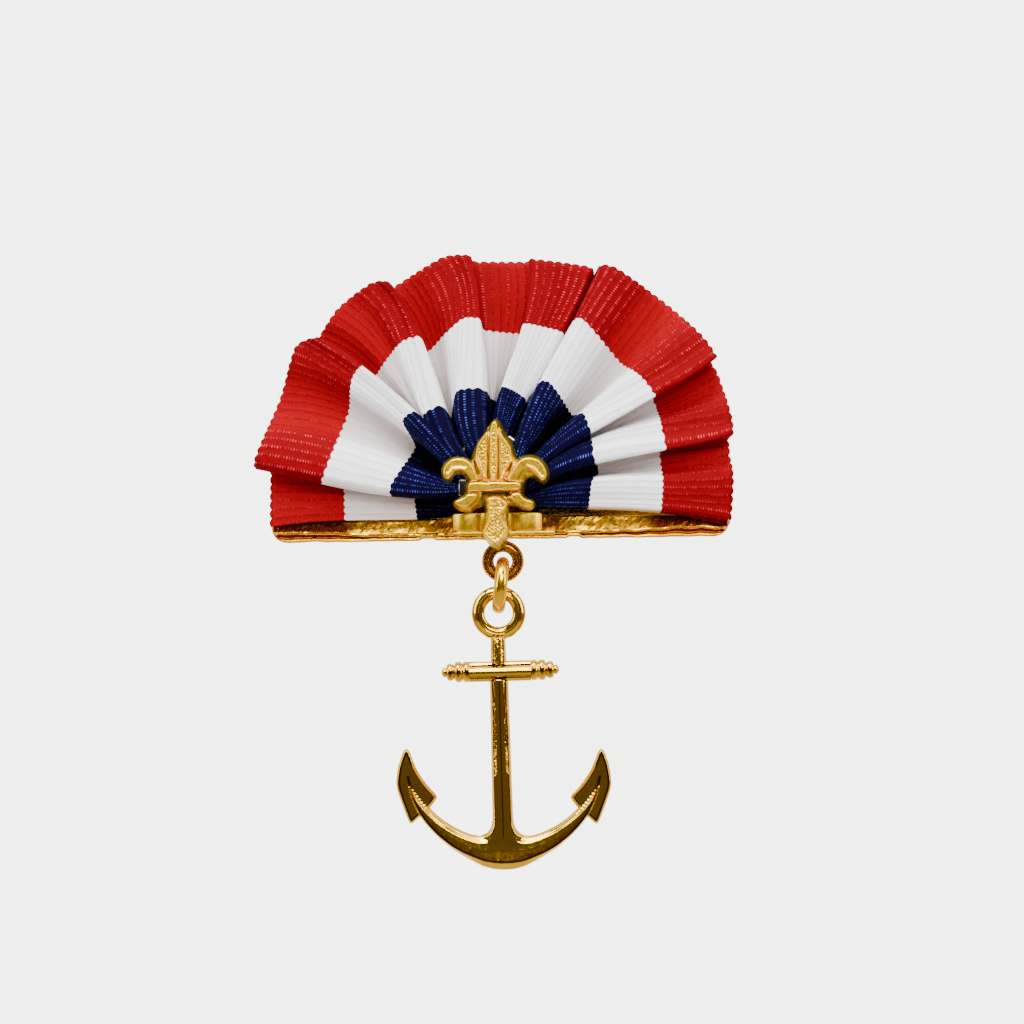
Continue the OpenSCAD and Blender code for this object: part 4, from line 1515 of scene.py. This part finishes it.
@dataclass
class GatherWire:
    """The silvered wire that ties the gathers, with its flat tab left of the fleur-de-lis."""

    centre: Point = (-1.1, 5.0)
    out: float = 9.9
    ring_out: float = 7.7
    ring_r: float = 5.3
    wire_r: float = 0.38
    section_points: int = 20
    steps: int = 120
    tab: Box = (-6.35, -4.95, 0.6, 3.1)
    tab_edge: float = 0.12
    face_depth: float = 0.01

    def make(self, wardrobe: Wardrobe) -> None:
        """Builds the wire.

        Args:
            wardrobe: The finishes.
        """
        x, z = self.centre
        front_out = self.out + self.wire_r
        mesh = bmesh.new()
        mesh.verts.layers.float.new(PAINTED_SHADE)
        ring = turned(wire_section(self.ring_r, self.wire_r, self.section_points), True, self.steps)
        gather(mesh, ring, at_mm(x, self.ring_out, z))
        tab = plate(self.tab, self.ring_out, front_out, self.tab_edge)
        # painted reflection: the tab's flat front takes the dark hollow tone, between its bright edges
        mark_painted_shade(tab, lambda at: (np.abs(at[:, 1] + front_out) < self.face_depth) * 1.0)
        gather(mesh, tab)
        settle(as_piece(mesh, "silver_wire"), Body.BROOCH, Slot.SILVER, wardrobe, "gather_wire")


# The drop


@dataclass
class DropEye:
    """The eye under the bar: a channelled ring with beaded edges, on a stem."""

    centre: Triple = (0.45, 8.0, -9.5)
    hole_r: float = 1.42
    rim: float = 1.84
    half_t: float = 0.8
    bead_r: float = 0.22
    outer_beads: int = 36
    inner_beads: int = 20
    outer_beads_in: float = 0.24
    inner_beads_out: float = 0.26
    bead_sink: float = 0.06
    channel_shade: Point = (0.85, -0.3)
    stem_r: float = 0.8
    stem_l: float = 3.2
    stem_sides: int = 40
    stem_sink: float = 0.6
    # distance from the ring's edge, and how far below its highest line
    rolled_edge: tuple[Point, ...] = ((0.0, 0.3), (0.06, 0.12), (0.16, 0.0), (0.36, 0.0), (0.46, 0.12), (0.5, 0.2))
    channel: tuple[Point, ...] = ((0.62, 0.3), (0.76, 0.26), (0.88, 0.33), (1.02, 0.28), (1.16, 0.32))

    def face(self) -> list[Point]:
        """Gives half of the ring's section: radius and height of each point, from the hole outwards."""
        back = [(self.rim - r, drop) for r, drop in reversed(self.rolled_edge)]
        return [(self.hole_r + r, self.half_t - drop) for r, drop in (*self.rolled_edge, *self.channel, *back)]

    def make(self, wardrobe: Wardrobe) -> None:
        """Builds the eye.

        Args:
            wardrobe: The finishes.
        """
        x, out, z = self.centre
        outer_r = self.hole_r + self.rim
        middle = self.hole_r + self.rim / 2
        place = at_mm(x, out, z)
        mesh = bmesh.new()
        mesh.verts.layers.float.new(PAINTED_SHADE)
        ring = turned(mirrored(self.face()), True)

        def depth(at: np.ndarray) -> np.ndarray:
            """Paints shade in the channel between the beaded edges."""
            return ramp(np.abs(np.hypot(at[:, 0], at[:, 2]) - middle), *self.channel_shade)

        # painted shade in the channel
        mark_painted_shade(ring, depth)
        gather(mesh, ring, place)
        for count, radius in (
            (self.outer_beads, outer_r - self.outer_beads_in),
            (self.inner_beads, self.hole_r + self.inner_beads_out),
        ):
            for k in range(count):
                turn = 2 * math.pi * k / count
                for side in (-1, 1):
                    rise = side * (self.half_t - self.bead_sink)
                    spot = Vector((radius * math.cos(turn), rise, radius * math.sin(turn)))
                    bead = Matrix.Translation(spot * MM + place.translation)
                    bmesh.ops.create_icosphere(mesh, subdivisions=1, radius=self.bead_r * MM, matrix=bead)
        radius = self.stem_r * MM
        middle_z = z + outer_r - self.stem_sink + self.stem_l / 2
        bmesh.ops.create_cone(
            mesh, cap_ends=True, segments=self.stem_sides, radius1=radius, radius2=radius, depth=self.stem_l * MM,
            matrix=at_mm(x, out, middle_z)
        )
        settle(as_piece(mesh, "beaded_eye", BEADED_DEG), Body.BROOCH, Slot.DARK, wardrobe, "drop_eye")


@dataclass
class JumpRing:
    """The round wire ring, seen edge-on."""

    top: Triple = (0.45, 8.0, -9.78)
    ring_r: float = 3.42
    wire_r: float = 1.04
    section_points: int = 32
    steps: int = 128
    lean: float = 5.7

    def make(self, wardrobe: Wardrobe) -> None:
        """Builds the ring.

        Args:
            wardrobe: The finishes.
        """
        mesh = turned(wire_section(self.ring_r, self.wire_r, self.section_points), True, self.steps)
        hung = at_mm(*self.top) @ turn_about("Y", self.lean) @ at_mm(0.0, 0.0, -self.ring_r)
        bmesh.ops.transform(mesh, matrix=hung @ turn_about("Z", 90), verts=mesh.verts)
        settle(as_piece(mesh, "wire_ring", ALL_SMOOTH_DEG), Body.LINK, Slot.SATIN, wardrobe, "jump_ring")


@dataclass
class Anchor:
    """The cast anchor. Its forms are drawn about the centre of its ring.

    A tuple that a ramp reads gives where it starts, over how much it goes, and how high. Those for turns are degrees
    from the crown, and those for edges are depths behind them.
    """

    ring_centre: Triple = (-0.2155, 8.0, -17.497)
    lean: float = 1.6
    ring_section: tuple[Triple, ...] = (
        # radius, half thickness, painted shade in the ring's steps
        (2.17, 0.28, 0.0), (2.24, 0.5, 0.6), (2.34, 0.68, 0.0), (2.5, 0.78, 0.0), (2.72, 0.91, 0.0), (2.86, 0.96, 0.1),
        (3.12, 0.97, 0.3), (3.19, 0.9, 1.0), (3.26, 0.92, 0.5), (3.34, 0.96, 0.0), (3.5, 0.89, 0.0), (3.8, 0.73, 0.0),
        (3.87, 0.65, 1.0), (3.95, 0.6, 0.1), (4.08, 0.45, 0.0), (4.18, 0.25, 0.0),
    )
    ring_steps: int = 144
    bead_steps: int = 72
    rod_columns: int = 24
    box: Box = (-17.4, 17.4, -40.6, -3.2)
    step: float = 0.09
    post_x: float = -0.22
    post_widths: tuple[Point, ...] = ((3.0, 1.12), (8.0, 1.24), (10.4, 1.44), (36.0, 1.64))
    post_top: float = -3.4
    post_rise: tuple[Point, ...] = ((0.0, 0.1), (0.26, 1.08), (0.36, 1.16), (0.6, 1.3), (1.3, 1.36))
    pebble: float = 0.06
    pebble_sizes: Point = (0.34, 0.18)
    fine_pebbles: float = 0.8
    pebbled_from: Point = (0.34, 0.1)
    pebbled_above: Point = (-8.6, 0.8)
    groove: float = 0.17
    groove_depth: float = 0.02
    groove_top: Point = (-10.4, -0.6)
    groove_foot: Point = (-36.0, 2.0)
    stock_z: float = -9.0
    # the shank's rise is less where the stock crosses it: half height, its growth to the sides, softness, share
    crossing: Box = (0.95, 0.2, 0.3, 0.45)
    crossing_z: float = -0.1
    stock_ends: Point = (-4.8, 4.75)
    rod_section: tuple[Triple, ...] = (
        # height, half thickness, painted shade in the grooves beside the ledges
        (1.55, 0.25, 0.0), (1.45, 0.5, 0.0), (1.0, 0.72, 0.0), (0.88, 0.66, 1.0), (0.82, 0.8, 0.7), (0.74, 1.08, 0.0),
        (0.56, 1.36, 0.0), (0.3, 1.56, 0.0), (0.0, 1.66, 0.1), (-0.3, 1.67, 0.3), (-0.6, 1.58, 0.5), (-0.84, 1.38, 0.7),
        (-1.0, 1.0, 1.0), (-1.04, 0.66, 1.0), (-1.12, 0.74, 0.2), (-1.5, 0.6, 0.0), (-1.62, 0.25, 0.0),
    )
    beads: tuple[Point, ...] = (
        # radius, place along the stock
        (0.0, -9.15), (0.3, -9.1), (0.62, -8.9), (0.78, -8.66), (0.74, -8.46), (0.6, -8.36),
        (0.95, -8.3), (1.25, -8.14), (1.36, -7.75), (1.25, -7.3), (1.0, -7.1),
        (1.35, -7.02), (1.56, -6.8), (1.63, -6.45), (1.56, -6.1), (1.3, -5.85),
        (1.5, -5.6), (1.6, -5.4), (1.62, -5.12), (1.54, -4.85), (1.3, -4.66), (0.8, -4.5),
    )
    bead_centres: Triple = (5.15, 6.5, 7.75)
    # painted shade in the middle of each bead's face
    bead_painted_shade: Triple = (-0.15, 0.75, 0.34)  # height of its middle, half height, half width
    least: float = 0.02
    parting: float = 0.1
    arm_steps: tuple[Triple, ...] = ((0.0, 0.34, 0.66), (0.36, 0.6, 0.42), (0.7, 2.0, 0.3))
    under_rise: Point = (1.1, 0.8)  # rise over the lower wall, and its curve
    under_slope: Point = (0.11, 2.5)  # slope behind that wall, and how far it goes
    # soft lines of painted shade: depth of the middle behind the edge, half width
    side_line: Point = (0.42, 0.09)
    under_line: Point = (0.14, 0.14)
    fluke_line: Point = (0.5, 0.1)
    # painted shade behind the arms' lower wall, and a little over the flukes
    under_shade: Triple = (1.7, -1.4, 0.4)
    fluke_shade: float = 0.15
    no_edge: float = 9.0
    wall_width: Triple = (0.24, 0.85, 24.0)  # at the tips, more under the crown, over how many degrees
    tips: Triple = (70.0, 17.0, 0.4)
    arm_outer: Point = (14.8, -24.3)
    arm_inner: Point = (15.85, -19.3)
    arm_level: float = 1.6
    arm_bulge: tuple[Point, ...] = (
        # turn from the crown in degrees, rise of the lower edge over its arc
        (0.0, 0.75), (6.0, 0.7), (12.0, 0.54), (17.0, 0.27), (22.0, 0.06), (30.0, -0.12), (40.0, -0.22), (50.0, -0.14),
        (60.0, 0.05), (72.0, 0.2), (86.0, 0.5),
    )
    crown_z: float = -37.0
    rib_end: float = -25.2
    crotch_blend: float = 3.6
    arm_blend: Point = (-1.5, 3.0)
    teeth_pitch_deg: float = 2.3
    teeth_from: Point = (57.0, 4.0)
    teeth_edge: Point = (0.1, 0.15)
    teeth_end: float = 0.8
    teeth_depth: float = 0.18
    fluke_rim: Point = (0.56, 0.3)  # width of the rim inside the arm's arc and beyond it
    fluke_thickness: float = 0.5
    fluke_pebble: Triple = (0.03, 0.5, 8.0)  # strength, size, seed
    fluke_face: Point = (0.6, 0.1)
    fluke: tuple[Point, ...] = (
        (15.1, -21.0), (15.6, -21.4), (16.4, -23.6), (16.75, -26.2), (16.5, -27.6), (15.75, -29.8), (14.7, -32.6),
        (14.2, -32.7), (13.1, -31.7), (12.2, -30.9), (11.3, -30.0), (10.35, -28.8), (10.4, -28.2), (12.3, -26.2),
        (13.7, -23.9), (14.6, -21.4),
    )

    def ring(self) -> Form:
        """Builds the ring with its stepped face.

        Returns:
            The form.
        """
        radii, heights, depths = zip(*self.ring_section)
        mesh = turned(mirrored(list(zip(radii, heights))), True, self.ring_steps)
        # painted shade in the ring's steps
        mark_painted_shade(mesh, lambda at: np.interp(np.hypot(at[:, 0], at[:, 2]), radii, depths))
        return mesh

    def rod(self) -> Form:
        """Builds the plain part of the stock, a round rod between two ledges.

        Returns:
            The form.
        """
        front = list(self.rod_section)
        loop = np.array(front + [(z, -t, d) for z, t, d in reversed(front)] + [front[0]])
        marks = np.linspace(0.0, 1.0, len(loop))
        left, right = self.stock_ends

        def place(along: np.ndarray, across: np.ndarray) -> np.ndarray:
            """Places points along the rod and round its section."""
            z, thick = (np.interp(across, marks, loop[:, column]) for column in (0, 1))
            return np.stack((left + (right - left) * along, -thick, self.stock_z + z), axis=1)

        # painted shade in the grooves beside the ledges
        mesh = laid_grid(
            self.rod_columns, len(loop) - 1, place, lambda _, across: np.interp(across, marks, loop[:, 2])
        )
        bmesh.ops.remove_doubles(mesh, verts=mesh.verts, dist=TINY)
        bmesh.ops.holes_fill(mesh, edges=rim_of(mesh), sides=0)
        bmesh.ops.recalc_face_normals(mesh, faces=mesh.faces)
        return mesh

    def end_beads(self) -> Form:
        """Builds the beads and the knobs at both ends of the stock, on one core.

        Returns:
            The form.
        """
        mesh = turned(mirrored(self.beads), False, self.bead_steps)
        bmesh.ops.transform(mesh, matrix=at_mm(0.0, 0.0, self.stock_z) @ turn_about("Z", 90), verts=mesh.verts)
        middle, half_height, half_width = self.bead_painted_shade

        def depth(at: np.ndarray) -> np.ndarray:
            """Paints shade on the middle of each bead's face."""
            beside = np.max([bell(np.abs(at[:, 0]), x, half_width) for x in self.bead_centres], axis=0)
            return beside * bell(at[:, 2] - self.stock_z, middle, half_height)

        # painted shade on the beads' middles
        mark_painted_shade(mesh, depth)
        return mesh

    def arm_frame(self, at: np.ndarray) -> tuple[np.ndarray, np.ndarray]:
        """Moves points into the arms' frame, which stays level while the shank leans.

        Args:
            at: The points, as X and Z.

        Returns:
            Their X and their Z in that frame.
        """
        slope = math.tan(math.radians(self.arm_level))
        x = at[:, 0] - self.post_x
        return x - slope * (at[:, 1] - self.crown_z), at[:, 1] + slope * x

    def edges(self, at: np.ndarray) -> tuple[np.ndarray, np.ndarray, np.ndarray, np.ndarray]:
        """Measures how deep points lie behind the edges of the neck, the shank and the arms.

        Args:
            at: The points, as X and Z.

        Returns:
            The depth behind the upper and side edges, the depth behind the lower edge, the turn from the crown,
            and how far each point belongs to an arm and not to the shank.
        """
        x, z = self.arm_frame(at)
        outer_r, outer_z = self.arm_outer
        inner_r, inner_z = self.arm_inner
        turn = np.degrees(np.arctan2(np.abs(x), outer_z - z))
        turns, bulges = zip(*self.arm_bulge)
        reach = outer_r + np.interp(turn, turns, bulges)
        lower = np.where(z < outer_z, reach - np.hypot(x, z - outer_z), self.no_edge)
        arm = np.minimum(np.hypot(x, z - inner_z) - inner_r, self.rib_end - z)
        downs, halves = zip(*self.post_widths)
        half = np.interp(-at[:, 1], downs, halves)
        post = np.minimum(half - np.abs(at[:, 0] - self.post_x), self.post_top - at[:, 1])
        near = np.maximum(self.crotch_blend - np.abs(arm - post), 0.0) / self.crotch_blend
        upper = np.maximum(arm, post) + near**2 * self.crotch_blend / 4
        return upper, lower, turn, ramp(arm - post, *self.arm_blend)

    def fluke_depth(self, at: np.ndarray) -> np.ndarray:
        """Measures how deep points lie inside the flukes' outlines."""
        x, z = self.arm_frame(at)
        return depth_inside(rounded(self.fluke), np.stack((np.abs(x), z), axis=1))

    def inside(self, at: np.ndarray) -> np.ndarray:
        """Measures how deep points lie inside the outline of the neck, the shank, the arms and the flukes."""
        upper, lower, _, _ = self.edges(at)
        return np.maximum(np.minimum(upper, lower), self.fluke_depth(at))

    def lower_wall(self, turn: np.ndarray) -> np.ndarray:
        """Gives the width of the arms' lower wall, which is widest under the crown."""
        least, more, over = self.wall_width
        return least + more * bell(turn, 0.0, over)

    def height(self, at: np.ndarray) -> np.ndarray:
        """Finds how high the casting's front is above its parting line.

        Args:
            at: The points, as X and Z.

        Returns:
            The height of each point.
        """
        upper, lower, turn, on_arm = self.edges(at)
        post = np.interp(upper, *zip(*self.post_rise))
        arm = self.parting + sum(ramp(upper, *step) for step in self.arm_steps)
        coarse, fine = self.pebble_sizes
        pebbled = ramp(upper, *self.pebbled_from) * ramp(at[:, 1], *self.pebbled_above)
        post = post + pebbled * self.pebble * (grain_at(at, coarse) + self.fine_pebbles * grain_at(at, fine, 3.0))
        half, growth, soft, share = self.crossing
        from_stock = np.abs(at[:, 1] - self.stock_z - self.crossing_z) - half
        clear = ramp(from_stock - growth * (at[:, 0] - self.post_x) ** 2, 0.0, soft, 1.0 - share)
        post = post * (share + clear)
        rise = post + (arm - post) * on_arm
        wall = self.lower_wall(turn)
        (wall_rise, curve), (slope, reach) = self.under_rise, self.under_slope
        under = self.parting + wall_rise * np.clip(lower / wall, 0.0, 1.0) ** curve
        under = under + slope * np.clip(lower - wall, 0.0, reach)
        rise = np.minimum(rise, under) * (1.0 - ramp(turn, *self.tips) * on_arm)
        teeth = 0.5 + 0.5 * np.cos(2 * math.pi * turn / self.teeth_pitch_deg)
        on_edge = ramp(turn, *self.teeth_from) * ramp(upper, *self.teeth_edge) * (upper < self.teeth_end)
        rise = rise - self.teeth_depth * teeth * on_edge - self.groove_depth * self.centre_line(at)
        rise = np.where(np.minimum(upper, lower) > 0.0, rise, 0.0)
        fluke = self.fluke_depth(at)
        x, z = self.arm_frame(at)
        outer_r, outer_z = self.arm_outer
        inner = np.hypot(x, z - outer_z) < outer_r - self.fluke_face[0]
        plate_rise = self.parting + ramp(fluke, 0.0, np.where(inner, *self.fluke_rim), self.fluke_thickness)
        strength, size, seed = self.fluke_pebble
        plate_rise = plate_rise + strength * grain_at(at, size, seed) * ramp(fluke, *self.fluke_face)
        return np.maximum(np.maximum(rise, np.where(fluke > 0.0, plate_rise, 0.0)), self.least)

    def centre_line(self, at: np.ndarray) -> np.ndarray:
        """Finds the groove down the middle of the shank, from 0 beside it to 1 in it."""
        along = ramp(at[:, 1], *self.groove_top) * ramp(at[:, 1], *self.groove_foot)
        return along * (1.0 - ramp(np.abs(at[:, 0] - self.post_x), 0.0, self.groove))

    def painted_shade(self, at: np.ndarray) -> np.ndarray:
        """Gives how much painted shade points get: beside the walls, under the arms' lower wall, in the shank's groove,
        along the flukes' edges and a little all over the flukes.

        Args:
            at: The points, as X and Z.

        Returns:
            The painted shade of each point, from 0 to 1.
        """
        upper, lower, turn, on_arm = self.edges(at)
        below = lower - self.lower_wall(turn)
        beside = bell(upper, *self.side_line) * (1.0 - on_arm)
        under = bell(below, *self.under_line) + ramp(below, *self.under_shade) * (below > 0.0)
        held = np.minimum(upper, lower) > 0.0
        on_shank = np.maximum(np.maximum(beside, under), self.centre_line(at))
        return np.where(held, on_shank, bell(self.fluke_depth(at), *self.fluke_line) + self.fluke_shade)

    def make(self, wardrobe: Wardrobe) -> None:
        """Builds the anchor.

        Args:
            wardrobe: The finishes.
        """
        # painted shade beside and under the walls, in the shank's groove and on the flukes
        mesh = relief(
            self.box, self.step, self.inside, self.height, lambda at, _: self.painted_shade(at), two_sided=True
        )
        for part in (self.ring(), self.rod(), self.end_beads()):
            gather(mesh, part)
        bmesh.ops.transform(mesh, matrix=at_mm(*self.ring_centre) @ turn_about("Y", -self.lean), verts=mesh.verts)
        settle(as_piece(mesh, "cast_anchor", CREASE_DEG), Body.ANCHOR, Slot.POLISHED, wardrobe, "anchor")


# The studio


@dataclass(frozen=True)
class SoftLight:
    """One soft box. Its place and aim are in metres."""

    name: str
    place: Triple
    size: Point
    power: float
    tone: Colour = (1.0, 0.98, 0.95)
    aim: Triple = (0.0, -0.008, -0.01)

    def make(self) -> None:
        """Adds the light."""
        data = bpy.data.lights.new(self.name, "AREA")
        data.shape = "RECTANGLE"
        data.size, data.size_y = self.size
        data.energy = self.power
        data.color = self.tone
        made = bpy.data.objects.new(self.name, data)
        made.location = self.place
        made.rotation_euler = (Vector(self.aim) - Vector(self.place)).to_track_quat("-Z", "Y").to_euler()
        bpy.context.scene.collection.objects.link(made)


@dataclass
class Studio:
    """The camera, the soft lights, the plain surroundings and a pale floor."""

    mm_per_pixel: float = 0.155
    centre_pixel: Point = (500.0, 500.0)
    picture: float = 1024.0
    distance: float = 0.7
    brooch_out: float = 8.0
    sensor: float = 36.0
    floor_z: float = -0.9
    floor_r: float = 2.6
    floor_sides: int = 96
    surroundings: Colour = (0.93, 0.92, 0.9)
    lit: Colour = (0.8, 0.8, 0.8)
    lit_low: Colour = (0.9, 0.55, 0.28)
    low_band: Point = (-0.25, 0.1)
    backdrop_light: float = 5.5
    soft_light: float = 1.3
    # where the light starts and ends along the direction's Y or Z, and its strength there
    behind_light: Box = (-0.6, 0.6, 0.155, 1.75)
    overhead_light: Box = (0.82, 0.97, 0.0, 9.0)
    lights: tuple[SoftLight, ...] = (
        SoftLight("key_above", (-0.14, -0.26, 0.5), (0.3, 0.2), 6.0),
        SoftLight("left_side", (-0.42, -0.16, 0.2), (0.14, 0.5), 1.7),
        SoftLight("right_side", (0.42, -0.16, 0.2), (0.14, 0.5), 1.8),
        SoftLight("front_fill", (0.1, -0.64, 0.4), (0.5, 0.26), 6.2),
    )

    def camera(self) -> None:
        """Adds the camera, square to the front as in the photograph."""
        half = self.picture / 2
        data = bpy.data.cameras.new("camera")
        data.sensor_width = self.sensor
        data.lens = self.sensor * self.distance / (self.picture * self.mm_per_pixel * MM)
        made = bpy.data.objects.new("camera", data)
        x, z = ((half - pixel) * self.mm_per_pixel * MM for pixel in self.centre_pixel)
        made.location = (x, -self.distance - self.brooch_out * MM, -z)
        made.rotation_euler = (math.radians(90), 0, 0)
        bpy.context.scene.collection.objects.link(made)
        bpy.context.scene.camera = made

    def world(self) -> None:
        """Adds plain surroundings: bright above and behind, and dim in front, so that metal shows dark bands."""
        world = bpy.data.worlds.new("surroundings")
        world.use_nodes = True
        tree = NodeTree(world.node_tree)
        path = tree.node("ShaderNodeLightPath").outputs
        way = tree.split(tree.node("ShaderNodeTexCoord").outputs["Generated"])
        light = tree.remap(way["Y"], *self.behind_light)
        light = tree.math("MAXIMUM", tree.times(path["Is Diffuse Ray"], self.soft_light), light)
        light = tree.math("MAXIMUM", light, tree.remap(way["Z"], *self.overhead_light))
        tint = tree.mix(tree.remap(way["Z"], *self.low_band, interpolation="LINEAR"), self.lit_low, self.lit)
        choose = tree.node("ShaderNodeMixShader")
        tree.feed(choose.inputs[0], path["Is Camera Ray"])
        for socket, tone, strength in (
            (choose.inputs[1], tint, light),
            (choose.inputs[2], (*self.surroundings, 1.0), self.backdrop_light),
        ):
            shown = tree.node("ShaderNodeBackground")
            tree.feed(shown.inputs["Color"], tone)
            tree.feed(shown.inputs["Strength"], strength)
            tree.feed(socket, shown.outputs[0])
        tree.feed(tree.node("ShaderNodeOutputWorld").inputs["Surface"], choose.outputs[0])
        bpy.context.scene.world = world

    def floor(self) -> None:
        """Adds the floor."""
        mesh = bmesh.new()
        place = Matrix.Translation((0, 0, self.floor_z))
        bmesh.ops.create_circle(mesh, cap_ends=True, segments=self.floor_sides, radius=self.floor_r, matrix=place)
        made = as_piece(mesh, "floor")
        made.data.materials.append(FloorFinish().make())
        made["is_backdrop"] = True

    def make(self) -> None:
        """Builds the whole studio."""
        self.camera()
        self.world()
        self.floor()
        for light in self.lights:
            light.make()


@dataclass
class Brooch:
    """The whole brooch: every sub-assembly in the order that it is put together."""

    frame: dict
    wardrobe: Wardrobe = field(default_factory=Wardrobe)

    def make(self) -> None:
        """Builds and dresses every piece."""
        for part in (RibbonFan(), Bar(), Saddle(), FleurDeLis(), GatherWire(), DropEye(), JumpRing(), Anchor()):
            log.info("making %s", type(part).__name__)
            part.make(self.wardrobe)
        self.wardrobe.dress(self.frame["nodes"]["pin"], Slot.STEEL)


def corners() -> list[list[float]]:
    """Gives the whole object's box as two plain lists."""
    return [[float(value) for value in corner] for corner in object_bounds()]


def main() -> None:
    """Builds the scene."""
    logging.basicConfig(level=logging.INFO, format="%(name)s: %(message)s")
    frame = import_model()
    Studio().make()
    Brooch(frame).make()
    log.info("all pieces are in place")


if __name__ == "__main__":
    main()
